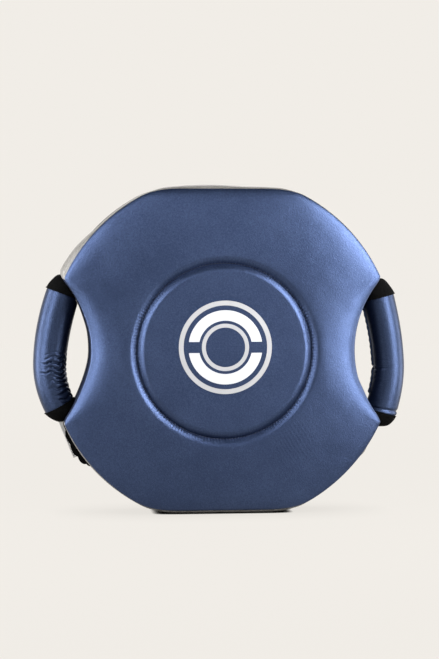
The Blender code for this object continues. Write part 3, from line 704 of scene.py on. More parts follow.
def bulge(angle, share):
    """How far the padded side stands out at a share of the way from front seam to back seam."""
    up = np.degrees(np.arcsin(np.sin(angle)))
    left = np.cos(angle) < 0
    corner = np.interp(up, *CORNER_SWELL) * left
    swell = np.maximum(smooth_step(np.abs(up), *FLAT_SWELL) + corner, smooth_step(np.abs(up), *CORE_COVER))
    swell = swell + gaussian(BODY_RADIUS * np.cos(angle), *TOP_SWELL) * (up > 0)
    across = np.minimum(np.sin(math.pi * np.clip(share, 0, 1)) / math.sin(0.2 * math.pi), 1.0)
    turned_edge = gaussian(up, *LEFT_EDGE) * left + gaussian(up, *RIGHT_EDGE) * ~left
    return swell * np.sqrt(np.maximum(across, 0.0)) + turned_edge * gaussian(share, 0.03, 0.05)


def build_gusset(node, first, last, count, finish):
    """One strip of the side, turned in at both seams and gathered along them."""
    angles = crowded_angles(first + SEAM_BACK, last - SEAM_BACK, count)[:, None]
    share = np.linspace(0, 1, 22)[None, :]
    y = SIDE_FRONT_Y + (SIDE_BACK_Y - SIDE_FRONT_Y) * share
    from_edge = np.minimum(share, 1 - share) * (SIDE_BACK_Y - SIDE_FRONT_Y)
    inset = EDGE_TURN * np.maximum(1 - from_edge / EDGE_TURN, 0.0) ** 2
    radius = edge_radius(angles, inset) + bulge(angles, share)
    wave = WAVE * ripple(place(angles, radius, y), 22.0, 3.0) * smooth_step(from_edge / WAVE_FADE)
    along = np.sin(angles * BODY_RADIUS / STITCH_PITCH * 2 * math.pi)
    gather = GATHER * along * np.exp(-from_edge / GATHER_FADE)
    outside = place(angles, radius - np.abs(wave) + gather * (from_edge > PLAIN_EDGE), y)
    inside = rim(angles, GUSSET_THICKNESS, np.array([SIDE_BACK_Y, SIDE_FRONT_Y])[None, :])
    points = np.concatenate([outside, inside], axis=1)
    points[..., 2] = np.maximum(points[..., 2], 0.0)
    # The strips beside the handles take a darker copy of the blue cover: painted shade
    look = "blue_wall_painted_shade" if finish == "blue_cover" else None
    swept(node.replace("gusset", "side_strip"), points, finish, False, replaces=(node,), look=look)


def build_sides():
    """Four strips of the side, and the welt in the back seam."""
    for strip in SIDE_STRIPS:
        build_gusset(*strip)
    angles, turn = pad_angles(700), full_turn(12)[None, :]
    radius = edge_radius(angles, PIPING_RADIUS - PIPING_PROUD) + PIPING_RADIUS * np.cos(turn)
    points = place(angles, radius, PIPING_Y + PIPING_RADIUS * np.sin(turn))
    swept("back_welt", points, "black_cover", True, replaces=("back_piping",))


def build_back():
    """Black back cover with a rolled edge, drawn in slightly between its seams."""
    angles = pad_angles(700)
    flat_radius = edge_radius(angles, BACK_ROLL) * np.linspace(0, 1, 34)[None, :]
    turn = np.linspace(0, math.pi / 2, 9)[None, 1:]
    rolled_radius = edge_radius(angles, BACK_ROLL * (1 - np.sin(turn)))
    radius = np.concatenate([flat_radius, rolled_radius], axis=1)
    rolled_y = BACK_SEAM_Y + BACK_ROLL * np.cos(turn) + 0 * angles
    outside = place(angles, radius, np.concatenate([BACK_Y + 0 * flat_radius, rolled_y], axis=1))
    open_part = smooth_step((edge_radius(angles) - radius) / BACK_FADE)
    level = ripple(outside * np.array([1, 0, 1]), 16.0, 2.0)
    outside[..., 1] -= BACK_SINK * open_part * (0.6 + level)
    inside = [rim(angles, BACK_INSET, BACK_SEAM_Y), place(angles, 0.0, BACK_Y - GUSSET_THICKNESS)]
    points = np.concatenate([outside, *inside], axis=1)
    swept("back_cover", points, "black_cover", True, closed=False, replaces=("back_panel",))


build_face()
build_disc()
build_print()
build_ring_stitches()
build_sides()
build_back()


# Side handles

HANDLE_RADIUS = 0.024
HANDLE_REACH = WAIST_WIDTH / 2 + 0.032 + HANDLE_RADIUS
HANDLE_SAG = 0.018
HANDLE_MEETS_PAD = BODY_RADIUS * math.sin(CORNER_ANGLE) - 0.007
HANDLE_BOW = 0.0239
HANDLE_Y = 0.0165
HANDLE_WALL_GAP = 0.0013
FLANGE_REACH = 0.0024
FLANGE_THICKNESS = 0.0017
FLANGE_ROOT = 0.0012
FLANGE_FADE = 0.004
FLANGE_NOTCH_WIDTH = 0.0022
CUFF_THICKNESS = 0.0013
CUFF_WALL_GAP = 0.0009
CUFF_FOLDS = 0.0004
CUFF_TIP = 0.002
CUFF_FLARE_FADE = 0.08
CUFF_TUCK = 0.94
SLEEVE_TUCK = 0.0025
SLEEVE_ROLL = 0.0015

# Folds of the left grip's cover, and the pinch and crease of the right one's
FOLD_PITCH = 0.0070
FOLD_SWELL = 0.0005
FOLD_DEPTH = 0.0012
FOLD_WIDTH = 0.13
NOTCH_RISE = -0.0262
CREASE_RISE = -0.0865

# Width and height of the right grip's pinch, its crease and the roll below the crease
PINCH = (0.0020, 0.0010)
CREASE = (0.0017, 0.0013)
ROLL = (0.0025, 0.0007)

# The left grip's folds fade at their foot and top, and so do the faint ones above them: the height,
# over how much, and how strong they are. Heights for the tops are counted downwards.
FOLDS_FOOT, FOLDS_TOP = (-0.090, 0.012), (-0.004, 0.02)
FAINT_FOOT, FAINT_TOP = (0.02, 0.01, 0.08), (-0.062, 0.02)

# How each hand-sewn handle strays from the even bow: millimetres against height in decimetres
STRAY = {-1: (0.0, 3.63, 1.72, -3.4, -0.32), 1: (2.92, -0.9, 5.95, -3.62, -0.74)}
SLIMMING = {-1: (-2.27, -1.3, 2.02, -0.19), 1: (-0.85, 0.76, -1.46)}
STRAY_LOW, STRAY_HIGH = -0.094, 0.080

# Each end wrap: where it starts on the outer and inner side, its tip's height and reach from the pad,
# how far its open edge flares, and how full it stays towards its tip
CUFFS = {
    "handle_left_cuff_top": (0.0886, 0.0708, 0.1068, 0.0070, 0.0010, 0.58),
    "handle_left_cuff_bottom": (-0.0902, -0.0668, -0.1018, 0.0062, 0.0006, 0.62),
    "handle_right_cuff_top": (0.0790, 0.0670, 0.1005, 0.0095, 0.0010, 0.58),
    "handle_right_cuff_bottom": (-0.0982, -0.0842, -0.1125, 0.0120, 0.0008, 0.30),
}


def stray(table, side, rise):
    """One of the two tables above, in metres."""
    return np.polyval(table[side], np.clip(rise, STRAY_LOW, STRAY_HIGH) * 10) / 1000


def handle_radius(side, rise):
    """How thick a handle is at a height above or below the pad's centre."""
    return HANDLE_RADIUS + stray(SLIMMING, side, rise)


def bend_at(rise):
    """Height above the handle's widest point, and how sharply that half of its centre line bends."""
    above = rise + HANDLE_SAG
    span = HANDLE_MEETS_PAD + np.copysign(HANDLE_SAG, above)
    return above, HANDLE_BOW / span**2


def handle_x(side, rise):
    """Where the handle's centre line lies at a height above or below the pad's centre."""
    above, bend = bend_at(rise)
    return HANDLE_REACH - bend * above**2 + stray(STRAY, side, rise)


def slant(rise):
    """How much wider a level slice of the handle is than the handle across its centre line."""
    above, bend = bend_at(rise)
    return np.hypot(1, 2 * bend * above)


WALL_RISES = np.linspace(-0.13, 0.13, 521)
WALLS = {side: np.array([wall_x(side, rise) for rise in WALL_RISES]) for side in (-1, 1)}


def beside(side, x, y, rise):
    """Points beside the pad: how far out, how deep and how high above its centre."""
    return joined(side * x, y, CENTRE_Z + rise)


def wall_at(side, rise):
    """The pad's side at many heights."""
    return np.interp(rise, WALL_RISES, WALLS[side])


def cuff_start(cuff, turn):
    """Height at which an end wrap starts, round the handle from its outer side."""
    outer, inner = CUFFS[cuff][:2]
    return (outer + inner) / 2 + (outer - inner) / 2 * np.cos(turn)


def from_inside(turn, angle):
    """How far round a handle a place lies from an angle on its inner side."""
    return np.abs((turn + math.radians(angle) + math.pi) % (2 * math.pi) - math.pi)


def left_wrinkles(turn, rise):
    """Cross folds in the cover where the bend bunches it, on the left grip's inner and front side."""
    warp = ripple(joined(2.4 * np.cos(turn), 2.4 * np.sin(turn), rise * 40), 1.0, 3.7)
    fold = rise / FOLD_PITCH + 0.8 * warp
    own = ripple(joined(np.floor(fold) * 0.73, 0.0, 0.0), 1.0, 8.3)
    centre = fold - np.floor(fold) - 0.5
    swell = FOLD_SWELL * np.cos(2 * math.pi * centre)
    valley = gaussian(centre, 0.0, FOLD_WIDTH, FOLD_DEPTH)
    around = smooth_step((58 + 60 * own - np.degrees(from_inside(turn, 150))) / 30 + 0.5)
    along = smooth_step(-rise, *FOLDS_TOP) * smooth_step(rise, *FOLDS_FOOT)
    faint = smooth_step(rise, *FAINT_FOOT) * smooth_step(-rise, *FAINT_TOP)
    return (-swell - valley) * around * (along + faint)


def right_wrinkles(turn, rise):
    """Nearly smooth cover, pinched below its middle and drawn in above the lower wrap."""
    fine = ripple(joined(0.7 * np.cos(turn), 0.7 * np.sin(turn), rise * 150), 1.0, 21.3)
    fine = gaussian(fine, 0.0, 0.12, 0.0004) * (gaussian(rise, -0.030, 0.016) + 0.25)
    inside = from_inside(turn, 160)
    pinch_rise = NOTCH_RISE + 0.003 * np.cos(turn)
    pinch = gaussian(rise, pinch_rise, *PINCH) * gaussian(inside, 0.6, 0.75)
    crease_rise = CREASE_RISE - 0.004 * np.cos(turn)
    roll = gaussian(rise, crease_rise - 0.0045, *ROLL)
    return roll - (fine + pinch) * gaussian(inside, 0.0, 1.1) - gaussian(rise, crease_rise, *CREASE)


def build_sleeve(name, side, wrinkles):
    """The grip: leather sleeve over soft foam, with the gathers that its bend gives it."""
    turn = full_turn(96)[None, :]
    low = cuff_start(name + "_cuff_bottom", turn) - SLEEVE_TUCK
    high = cuff_start(name + "_cuff_top", turn) + SLEEVE_TUCK
    rise = low + (high - low) * np.linspace(0, 1, 260)[:, None]
    turn = np.broadcast_to(turn, rise.shape)
    from_end = np.minimum(rise - low, high - rise)
    rolled = SLEEVE_ROLL * np.exp(-from_end / SLEEVE_ROLL)
    radius = handle_radius(side, rise) + wrinkles(turn, rise) - rolled
    x = handle_x(side, rise) + radius * slant(rise) * np.cos(turn)
    x = np.maximum(x, wall_at(side, rise) + HANDLE_WALL_GAP)
    points = beside(side, x, HANDLE_Y + radius * np.sin(turn), rise)
    # The sleeve wears a darker copy of the blue cover, which is painted shade
    swept(name, points, "blue_cover", False, look="blue_grip_painted_shade",
          replaces=(name + "_sleeve", name + "_core"), fill=0.9)


def build_flange(name, side, angle, low, high, notch=None):
    """The sleeve's sewn closing seam: a narrow folded lip along its inner side."""
    rise = np.linspace(low, high, 110)[:, None]
    turn = full_turn(14)[None, :]
    ends = smooth_step((rise - low) / FLANGE_FADE) * smooth_step((high - rise) / FLANGE_FADE)
    reach = FLANGE_REACH * ends * (1 + 0.12 * np.sin(rise * 700))
    if notch is not None:
        reach = reach * (1 - gaussian(rise, notch, FLANGE_NOTCH_WIDTH, 0.9))
    out = handle_radius(side, rise) - FLANGE_ROOT + (reach + FLANGE_ROOT) * (0.5 - 0.5 * np.cos(turn))
    sideways = FLANGE_THICKNESS / 2 * np.sin(turn)
    x = handle_x(side, rise) + slant(rise) * out * math.cos(angle) - sideways * math.sin(angle)
    y = HANDLE_Y + out * math.sin(angle) + sideways * math.cos(angle)
    # The seam wears the darker copy of the blue cover too, which is painted shade
    swept(name, beside(side, x, y, rise), "blue_cover", False, look="blue_grip_painted_shade")


def build_cuff(name):
    """A cloth wrap over the end of a handle, drawn in to the pad's corner."""
    tip, tip_reach, flare, fullness = CUFFS[name][2:]
    side = -1 if "left" in name else 1
    turn = full_turn(72)[None, :]
    share = np.linspace(0, 1, 34)[:, None] ** 0.8
    left = (1 - share) ** fullness
    start = cuff_start(name, turn)
    rise = start + (tip - start) * share
    radius = handle_radius(side, rise) + CUFF_THICKNESS
    wall = wall_at(side, rise)
    end = wall_at(side, tip) + tip_reach
    outer = end + (handle_x(side, start) + radius * slant(start) - end) * left
    outer = outer + flare * np.exp(-share / CUFF_FLARE_FADE)
    middle = handle_x(side, rise) * (1 - share**2) + (wall + tip_reach / 2) * share**2
    folds = CUFF_FOLDS * np.sin(4 * turn + 7 * share + side) * smooth_step(share / 0.3) * left
    x = middle + (outer - middle + folds) * np.cos(turn)
    x = np.maximum(x, wall + CUFF_WALL_GAP)
    thick = radius * np.sqrt(np.maximum(1 - share**2.4, 0)) + CUFF_TIP * share + folds
    outside = beside(side, x, HANDLE_Y + thick * np.sin(turn), rise)
    middle = outside[:1].mean(axis=1, keepdims=True)
    tuck = middle + (outside[:1] - middle) * CUFF_TUCK
    points = np.concatenate([tuck, outside], axis=0)
    swept(name + "_wrap", points, "black_wrap", False, replaces=(name,))


def build_handles():
    """Both grips with their seams and end wraps."""
    build_sleeve("handle_left", -1, left_wrinkles)
    build_sleeve("handle_right", 1, right_wrinkles)
    build_flange("handle_left_seam", -1, math.radians(150), -0.060, 0.062)
    build_flange("handle_right_seam", 1, math.radians(176), -0.066, 0.066, notch=NOTCH_RISE)
    for name in CUFFS:
        build_cuff(name)


# Straps on the back

STRAP_ORIGIN = np.array([0.0, BACK_Y, CENTRE_Z - 0.0405])
ALONG = np.array([math.cos(STRAP_TILT), 0.0, math.sin(STRAP_TILT)])
ACROSS = np.array([-math.sin(STRAP_TILT), 0.0, math.cos(STRAP_TILT)])
OUT = np.array([0.0, 1.0, 0.0])
STRAP_WIDTH = 0.061
STRAP_THICKNESS = 0.0025
SEWN_GAP = 0.0003
STRAP_LAYER = SEWN_GAP + STRAP_THICKNESS / 2
HALF_STRAP = STRAP_WIDTH / 2
HALF_THICK = STRAP_THICKNESS / 2
SEAM_INSET = 0.0035
SEAM_PITCH = 0.0045
TAIL_SEAM = (0.0045, 0.027)
HINGE_REACH = 0.091
ARCH_HALF_SPAN = 0.085
ARCH_HEIGHT = 0.058
ARCH_POWER = 0.65
ANCHOR_START = HINGE_REACH + STRAP_THICKNESS / 2 + 0.0007
ANCHOR_LENGTH = 0.040
TAIL_END = -0.2368
LANDING_END = -0.2340
LANDING_TOP = 0.0028
TAPE_TOP = 0.0043
TAIL_LAYER = 0.00735
TAIL_LIFT = 0.0004
TAIL_RAMP = (0.2, 0.036, TAIL_LIFT)
LINING_END = TAIL_END + 0.007
LINING_LAYER = (-0.0015, -0.0002)
OUTLINE_STEP = 0.006
LANDING_HALF = 0.043
LANDING_DROP = 0.0065
LOBE_HEIGHT = 0.0026
LOBE_ROOT = 0.0006
TAPE_INSET = 0.003
TAPE_END = -0.2245
TAPE_SEAM = (-0.2225, -0.0965, 0.026)
ARM_PAD_REACH = 0.0525
ARM_PAD_HALF_WIDTH = 0.0345
ARM_PAD_HALF = 0.0030


def strap_world(along, across, out):
    """World points from places along, across and out from the straps' lie."""
    along, across, out = (part[..., None] for part in np.broadcast_arrays(along, across, out))
    return STRAP_ORIGIN + along * ALONG + across * ACROSS + out * OUT


def arch_rise(along, half_span, height):
    """Height of an arched strap over its feet."""
    share = np.minimum(np.abs(along) / half_span, 1.0)
    return height * (0.5 + 0.5 * np.cos(math.pi * share)) ** ARCH_POWER


def band_out(along):
    """Height of the forearm band's centre line over the back."""
    share = np.clip(0.5 - 0.5 * along / ARCH_HALF_SPAN, 0, 1)
    base = STRAP_LAYER + (TAIL_LAYER - STRAP_LAYER) * smooth_step(share)
    return base + arch_rise(along, ARCH_HALF_SPAN, ARCH_HEIGHT)


def flat_section(half_width, half_thickness):
    """A closed section of (across, normal) points: a flat strap with rounded edges."""
    flat = half_width - half_thickness
    half = [
        (flat + half_thickness * math.sin(turn), half_thickness * math.cos(turn))
        for turn in np.linspace(0, math.pi, 7)
    ]
    half += [(-across, -half_thickness) for across in np.linspace(-flat, flat, 9)[1:-1]]
    return np.array(half + [(-across, -height) for across, height in half])


def path_normals(path):
    """Unit normals of a path of (along, out) points."""
    run = unit(np.gradient(path, axis=0))
    return np.stack([-run[:, 1], run[:, 0]], axis=1)


def strap_points(path, section, centre=0.0, wide=1.0):
    """A strap's section swept along its path."""
    normal = path_normals(path)
    along = path[:, :1] + normal[:, :1] * section[None, :, 1]
    out = path[:, 1:] + normal[:, 1:] * section[None, :, 1]
    across = centre + wide * section[None, :, 0] + 0 * along
    return strap_world(along, across, out)


def add_strap(name, path, half_width, half_thickness, finish, centre=0.0, **settings):
    """One flat strap along a path of (along, out) points."""
    section = flat_section(half_width, half_thickness)
    swept(name, strap_points(path, section, centre), finish, False, **settings)


def surface_line(path, across, lift):
    """World places and outward directions along a line on a strap's upper side."""
    normal = path_normals(path)
    places = strap_world(path[:, 0] + normal[:, 0] * lift, across, path[:, 1] + normal[:, 1] * lift)
    return places, normal[:, :1] * ALONG + normal[:, 1:] * OUT


def edge_lines(path, lift):
    """Lines along the forearm strap, beside both its edges."""
    return [surface_line(path, side * (HALF_STRAP - SEAM_INSET), lift) for side in (-1, 1)]


def even_places(places, outward, pitch):
    """A line of places and outward directions cut into equal steps."""
    steps = np.linalg.norm(np.diff(places, axis=0), axis=1)
    total = np.concatenate([[0], np.cumsum(steps)])
    count = max(round(total[-1] / pitch), 1)
    marks = np.linspace(0, total[-1], count + 1)
    even, facing = (
        np.stack([np.interp(marks, total, part) for part in vectors.T], axis=1)
        for vectors in (places, outward)
    )
    return even, unit(facing)


def sew(name, lines, finish="thread", body="shield", pitch=0.004):
    """One object with the stitches of several lines of (places, outward directions)."""
    points, faces = [], []
    for places, outward in lines:
        places, outward = even_places(places, outward, pitch)
        add_stitches(points, faces, places, outward, 0.7 * pitch, THREAD_RADIUS)
    add_piece(name, np.array(points), faces, finish, body=body)


def flat_line(start, end, out, centre=0.0):
    """A straight line of places on the back, between two (along, across) points."""
    share = np.linspace(0, 1, 8)
    along = start[0] + (end[0] - start[0]) * share
    across = centre + start[1] + (end[1] - start[1]) * share
    places = strap_world(along, across, out + 0 * share)
    return places, np.tile(OUT, (len(share), 1))


def boxed_cross(low, high, half_width, out, centre=0.0, margin=0.003):
    """Lines of a sewn box with a cross in it."""
    left, right, top = low + margin, high - margin, half_width - margin
    corners = [(left, -top), (right, -top), (right, top), (left, top)]
    pairs = [(0, 1), (1, 2), (2, 3), (3, 0), (0, 2), (1, 3)]
    return [flat_line(corners[a], corners[b], out, centre) for a, b in pairs]


def slab(name, outline, low, high, finish, centre=(0.0, 0.0), round_edge=0.0005, crown=0.0, **settings):
    """A flat piece from a closed outline of (along, across) points, with rounded edges and a soft crown."""
    outline = np.asarray(outline)
    middle = outline.mean(axis=0)
    edge = min(round_edge, (high - low) / 2)
    inwards = unit(outline - middle) * edge
    rings = [(middle + 0 * outline, low)]
    for shrink, out in (
        (1.0, low), (0.0, low + edge * 0.3), (0.0, high - edge), (0.3, high - edge * 0.3), (1.0, high),
    ):
        rings.append((outline - inwards * shrink, out))
    top = rings[-1][0]
    for share in (0.85, 0.6, 0.3, 0.0):
        rings.append((middle + (top - middle) * share, high + crown * (1 - share**2)))
    points = [strap_world(ring[:, 0] + centre[0], ring[:, 1] + centre[1], out) for ring, out in rings]
    grid = np.stack(points, axis=1)
    swept(name, grid, finish, True, closed=False, **settings)


def rounded_box(left, right, half_width, corner):
    """Outline of a box with rounded corners, with points along its sides too."""
    outline = []
    for x, y, start in (
        (right - corner, half_width - corner, 0.0),
        (left + corner, half_width - corner, 0.5),
        (left + corner, -half_width + corner, 1.0),
        (right - corner, -half_width + corner, 1.5),
    ):
        for turn in np.linspace(start, start + 0.5, 6) * math.pi:
            outline.append(np.array([x + corner * math.cos(turn), y + corner * math.sin(turn)]))
    dense = []
    for first, second in zip(outline, outline[1:] + outline[:1]):
        count = max(int(math.dist(first, second) / OUTLINE_STEP), 1)
        dense += [first + (second - first) * (step / count) for step in range(count)]
    return np.array(dense)


def build_band():
    """Silver band over the forearm, with its comfort pad and its sewn anchor."""
    along = np.linspace(HINGE_REACH, -HINGE_REACH + 0.002, 110)
    path = np.stack([along, band_out(along)], axis=1)
    # The band wears a lighter copy of the silver cover: painted light
    add_strap("forearm_band", path, HALF_STRAP, HALF_THICK, "silver_cover", body="arm_strap",
              replaces=("arm_strap_band",), look="silver_strap_painted_light")
    sew("forearm_band_stitches", edge_lines(path, HALF_THICK), "print_grey", "arm_strap", SEAM_PITCH)

    inner = path[np.abs(along) < ARM_PAD_REACH]
    middle = inner - path_normals(inner) * (HALF_THICK + SEWN_GAP + ARM_PAD_HALF)
    share = np.linspace(-1, 1, len(middle))[:, None]
    soft = np.maximum(1 - np.abs(share) ** 6, 0.0) ** 0.5
    section = cushion_section(ARM_PAD_HALF_WIDTH, ARM_PAD_HALF)
    wide = 0.94 + 0.06 * soft
    points = strap_points(middle, section, wide=wide)
    squeeze = strap_points(middle, section * np.array([1, 0.25]), wide=wide)
    points = squeeze + (points - squeeze) * soft[:, :, None]
    swept("forearm_pad", points, "black_wrap", False, body="arm_strap",
          replaces=("arm_strap_pad",), fill=0.7)

    ends = (ANCHOR_START, ANCHOR_START + ANCHOR_LENGTH)
    top = SEWN_GAP + STRAP_THICKNESS
    # The anchor wears the lighter copy of the silver cover: painted light
    slab("forearm_anchor", rounded_box(*ends, HALF_STRAP, 0.003), SEWN_GAP, top, "silver_cover",
         round_edge=0.0008, replaces=("arm_strap_anchor",), look="silver_strap_painted_light")
    sew("forearm_anchor_stitches", boxed_cross(*ends, HALF_STRAP, top), "print_grey")


def build_tail():
    """The band's tail, with its hook-and-loop lining."""
    along = np.linspace(-HINGE_REACH, TAIL_END, 70)
    path = np.stack([along, TAIL_LAYER + smooth_step(-along, *TAIL_RAMP)], axis=1)
    # The tail wears the lighter copy of the silver cover: painted light
    add_strap("forearm_tail", path, HALF_STRAP, HALF_THICK, "silver_cover", body="strap_tail",
              replaces=("arm_strap_tail",), look="silver_strap_painted_light")
    lines = [(places, OUT + 0 * outward) for places, outward in edge_lines(path[2:-4], -HALF_THICK)]
    inset, wide = TAIL_SEAM
    end = TAIL_END + inset
    lines.append(flat_line((end, -wide), (end, wide), TAIL_LAYER + HALF_THICK + TAIL_LIFT))
    sew("forearm_tail_stitches", lines, "print_grey", "strap_tail", SEAM_PITCH)
    lining = rounded_box(LINING_END, -HINGE_REACH - TAPE_INSET, HALF_STRAP - TAPE_INSET, 0.002)
    low, high = (TAIL_LAYER - HALF_THICK + layer for layer in LINING_LAYER)
    slab("forearm_lining", lining, low, high, "hook_and_loop", body="strap_tail",
         replaces=("arm_strap_lining",), round_edge=0.0004)


def cushion_section(half_width, half_thickness):
    """A closed section of a flat cushion: bulged between its edges."""
    turn = full_turn(44)
    across = np.sign(np.cos(turn)) * np.abs(np.cos(turn)) ** 0.45
    height = np.sign(np.sin(turn)) * np.abs(np.sin(turn)) ** 0.8
    return np.stack([half_width * across, half_thickness * height], axis=1)


def build_landing():
    """Black landing patch with its lobed end, and the hook tape sewn to it."""
    half, bow = LANDING_HALF, LANDING_HALF / 2
    outline = [(-HINGE_REACH, half * share) for share in np.linspace(-1, 1, 16)]
    outline += [(along, half) for along in np.linspace(-HINGE_REACH, LANDING_END + bow, 24)[1:-1]]
    for turn in np.linspace(math.pi / 2, -math.pi / 2, 92)[1:-1]:
        lobe = LOBE_HEIGHT * abs(math.sin(6 * turn + 0.5)) ** 0.7 - LOBE_ROOT
        full = math.cos(turn) ** 0.8
        outline.append((LANDING_END + bow - (bow + lobe) * full, (half + lobe) * math.sin(turn)))
    outline += [(along, -half) for along in np.linspace(LANDING_END + bow, -HINGE_REACH, 24)[1:-1]]
    slab("landing_patch", outline, SEWN_GAP, LANDING_TOP, "black_wrap", centre=(0, -LANDING_DROP),
         round_edge=0.0010, replaces=("strap_landing",))
    tape = rounded_box(TAPE_END, -HINGE_REACH - TAPE_INSET, HALF_STRAP - TAPE_INSET, 0.002)
    slab("landing_tape", tape, LANDING_TOP + SEWN_GAP, TAPE_TOP, "hook_and_loop",
         round_edge=0.0004, replaces=("hook_tape",))
    low, high, wide = TAPE_SEAM
    corners = [(low, -wide), (high, -wide), (high, wide), (low, wide)]
    sew("landing_stitches", [flat_line(corners[i], corners[(i + 1) % 4], TAPE_TOP) for i in range(4)])


# Hand grip

GRIP_OFFSET = 0.131
GRIP_HALF_SPAN = 0.062
GRIP_HEIGHT = 0.044
GRIP_FOOT = 0.036
GRIP_HALF_WIDTH = 0.0125
GRIP_THICKNESS = 0.003
GRIP_SLEEVE_REACH = 0.0405
GRIP_SLEEVE_HALF_WIDTH = 0.017
GRIP_SLEEVE_HALF_HEIGHT = 0.012
GRIP_CREASE = (0.12, 0.055)
PATCH_START, PATCH_END = 0.003, 0.033
PATCH_HALF_WIDTH = 0.020
PATCH_THICKNESS = 0.0012


def build_hand_grip():
    """Webbing arch with a padded sleeve round its crown and a sewn patch over each foot."""
    span, foot = GRIP_HALF_SPAN, GRIP_FOOT
    along = np.concatenate([
        np.linspace(-span - foot, -span, 10)[:-1],
        np.linspace(-span, span, 90),
        np.linspace(span, span + foot, 10)[1:],
    ])
    base = SEWN_GAP + GRIP_THICKNESS / 2
    path = np.stack([along, base + arch_rise(along, span, GRIP_HEIGHT)], axis=1)
    add_strap("grip_webbing", path, GRIP_HALF_WIDTH, GRIP_THICKNESS / 2, "webbing",
              centre=GRIP_OFFSET, replaces=("hand_grip_webbing",))

    middle = path[np.abs(along) <= GRIP_SLEEVE_REACH]
    share = np.linspace(-1, 1, len(middle))[:, None]
    turn = full_turn(48)[None, :]
    folds = ripple(joined(np.cos(turn), np.sin(turn), share * 9), 1.0, 31.0)
    size = 1 - gaussian(folds, 0.0, *GRIP_CREASE) * (0.25 + np.clip(-np.sin(turn), 0, 1)) * (1 - share**8)
    size = size * np.maximum(1 - np.abs(share) ** 14, 0.25) ** 0.5
    normal = path_normals(middle)
    height = GRIP_SLEEVE_HALF_HEIGHT * np.sin(turn)
    points = strap_world(
        middle[:, :1] + normal[:, :1] * height * size,
        GRIP_OFFSET + GRIP_SLEEVE_HALF_WIDTH * np.cos(turn) * size,
        middle[:, 1:] + normal[:, 1:] * height * size,
    )
    swept("grip_sleeve", points, "black_wrap", False, replaces=("hand_grip_sleeve",), fill=0.85)

    low = 2 * SEWN_GAP + GRIP_THICKNESS
    lines = []
    for side, name in ((-1, "left"), (1, "right")):
        start, end = sorted((side * (span + PATCH_START), side * (span + PATCH_END)))
        patch = rounded_box(start, end, PATCH_HALF_WIDTH, 0.003)
        slab(f"grip_patch_{name}", patch, low, low + PATCH_THICKNESS, "black_cover",
             centre=(0, GRIP_OFFSET), crown=0.0003, replaces=(f"hand_grip_patch_{name}",))
        lines += boxed_cross(start, end, PATCH_HALF_WIDTH, low + 0.0014, GRIP_OFFSET)
    sew("grip_patch_stitches", lines)


# Vents

EYELET_SPREAD = 0.060
EYELET_RISE = FLAT_RISE - 0.0315
EYELET_PROFILE = [
    (0.0033, -0.007), (0.0033, 0.0006), (0.0036, 0.0012), (0.0043, 0.00155), (0.0055, 0.0016),
    (0.0068, 0.0013), (0.0076, 0.0007), (0.0078, 0.0001), (0.0072, -0.0002), (0.0045, -0.0002),
    (0.0045, -0.007),
]


def build_eyelets():
    """Rolled nickel eyelets, one over each vent hole in the board."""
    turn = full_turn(48)[:, None]
    radius, out = np.array(EYELET_PROFILE).T[:, None, :]
    for row, up in (("upper", 1), ("lower", -1)):
        for column, side in (("left", -1), ("right", 1)):
            x = side * EYELET_SPREAD + radius * np.cos(turn)
            z = CENTRE_Z + up * EYELET_RISE + radius * np.sin(turn)
            swept(f"vent_{row}_{column}", joined(x, BACK_Y + out, z), "nickel", True,
                  replaces=(f"eyelet_{row}_{column}",))


build_handles()
build_band()
build_tail()
build_landing()
build_hand_grip()
build_eyelets()

# Hidden nodes that keep their own shape
KEPT = {
    "shock_core": "firm_foam",
    "backing_board": "backing_board",
    "handle_left_webbing": "webbing",
    "handle_right_webbing": "webbing",
}
for node, finish in KEPT.items():
    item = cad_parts[node]
    item.data.materials.clear()
    item.data.materials.append(FINISHES[finish])


# Studio

BACKDROP = colour(0.879, 0.847, 0.799)
FLOOR_ALBEDO = 0.012
FLOOR_REACH = 4.5
CAMERA_AZIMUTH = -6
CAMERA_ELEVATION = 2.5
CAMERA_DISTANCE = 3.0
FRAME_HEIGHT = 0.9200
AIM_X = -0.0080
AIM_Z = 0.0306

# The floor's shadow: how far each layer reaches and how bright its darkest place stays
SHADOWS = ((0.006, 0.0), (0.09, 0.9))

# The floor's glow: two distances and its strength at each
FLOOR_GLOW = (0.3, 2.5, 0.975, 1.0)


def build_floor():
    """Pale floor with a soft shadow close round the shield."""
    tree = Tree("floor")
    path = tree.nodes.new("ShaderNodeLightPath").outputs
    seen = tree.math("MAXIMUM", path["Is Camera Ray"], path["Is Glossy Ray"])
    seen = tree.math("MAXIMUM", seen, path["Is Transmission Ray"])
    for distance, darkest in SHADOWS:
        open_sky = tree.add("AmbientOcclusion", {"Distance": distance}, samples=8).outputs["AO"]
        seen = tree.math("MULTIPLY", seen, tree.ramp(open_sky, 0.35, 0.95, darkest, 1.0))
    away = tree.add("VectorMath", {0: tree.coordinates}, operation="LENGTH").outputs["Value"]
    material = tree.finish(
        Base_Color=colour(*(value * FLOOR_ALBEDO for value in BACKDROP[:3])),
        Roughness=1.0,
        Specular_IOR_Level=0.0,
        Emission_Color=BACKDROP,
        Emission_Strength=tree.math("MULTIPLY", seen, tree.ramp(away, *FLOOR_GLOW)),
    )
    corners = np.array([(-1, -1, 0), (1, -1, 0), (1, 1, 0), (-1, 1, 0)]) * FLOOR_REACH
    mesh_object("floor", corners, [[0, 1, 2, 3]], material)


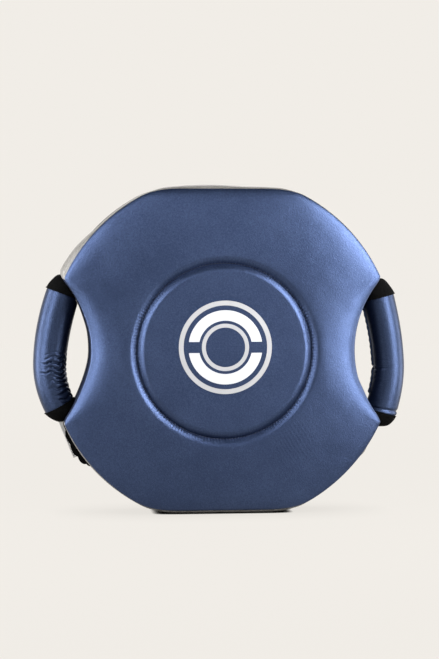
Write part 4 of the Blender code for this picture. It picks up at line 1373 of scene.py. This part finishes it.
def build_surroundings():
    """A world that is pale where it is seen or mirrored from behind, and otherwise gives dim light."""
    tree = Tree("studio", bpy.data.worlds, "Background", "Generated")
    path = tree.nodes.new("ShaderNodeLightPath").outputs
    backwards = tree.add("SeparateXYZ", {"Vector": tree.coordinates}).outputs["Y"]
    mirrored = tree.math("MAXIMUM", path["Is Glossy Ray"], path["Is Transmission Ray"])
    mirrored = tree.math("MULTIPLY", mirrored, tree.ramp(backwards, 0.5, 0.7, 0.0, 1.0))
    seen = tree.math("MAXIMUM", path["Is Camera Ray"], mirrored)
    bpy.context.scene.world = tree.finish(
        Color=tree.mix(seen, colour(1, 1, 1), BACKDROP),
        Strength=tree.ramp(seen, 0.0, 1.0, WORLD_STRENGTH, 1.0),
    )


# Name, azimuth and elevation in degrees, distance, width, height, power
LAMPS = [
    ("right_edge", 96, 5, 0.8, 0.25, 0.9, 4.2),
    ("right_near", 60, 7, 0.9, 0.3, 1.25, 11.0),
    ("right_middle", 50, 5, 1.0, 0.3, 0.9, 4.8),
    ("right_front", 40, 5, 1.1, 0.3, 0.9, 1.2),
    ("right_high", 55, 32, 0.9, 0.4, 0.4, 5.4),
    ("left_edge", -94, 5, 0.8, 0.25, 0.9, 7.0),
    ("left_front", -60, 5, 1.0, 0.35, 0.9, 9.0),
    ("left_high", -45, 30, 1.1, 0.5, 0.4, 4.5),
    ("front_low", 4, 4, 2.6, 0.5, 1.0, 4.8),
    ("front_high", 0, 35, 1.8, 1.0, 0.4, 3.4),
    ("back_high", 180, 38, 1.8, 1.4, 0.8, 9.0),
]
WORLD_STRENGTH = 0.12


def towards(azimuth, elevation):
    """Unit vector away from the shield, at degrees round from its front and up from the floor."""
    turn, lift = math.radians(azimuth), math.radians(elevation)
    return Vector((math.sin(turn) * math.cos(lift), -math.cos(turn) * math.cos(lift), math.sin(lift)))


def add_softbox(name, azimuth, elevation, distance, width, height, power):
    """A rectangular lamp that faces the shield's middle and stays out of sight."""
    lamp = bpy.data.lights.new(name, "AREA")
    lamp.shape = "RECTANGLE"
    lamp.size, lamp.size_y = width, height
    lamp.energy = power
    item = add_object(name, lamp)
    out = towards(azimuth, elevation)
    item.location = Vector((0, 0, CENTRE_Z)) + out * distance
    item.rotation_euler = out.to_track_quat("Z", "Y").to_euler()
    item.visible_camera = False


def build_studio():
    """Floor, surroundings, lamps and camera."""
    build_floor()
    build_surroundings()
    for lamp in LAMPS:
        add_softbox(*lamp)

    lens = bpy.data.cameras.new("camera")
    lens.lens = lens.sensor_width * CAMERA_DISTANCE / FRAME_HEIGHT
    camera = add_object("camera", lens)
    out = towards(CAMERA_AZIMUTH, CAMERA_ELEVATION)
    facing = out.to_track_quat("Z", "Y")
    aim = Vector((0, FACE_Y, CENTRE_Z)) + facing @ Vector((AIM_X, AIM_Z, 0))
    camera.location = aim + out * CAMERA_DISTANCE
    camera.rotation_euler = facing.to_euler()
    bpy.context.scene.camera = camera
    bpy.context.scene.view_settings.view_transform = "Standard"


build_studio()
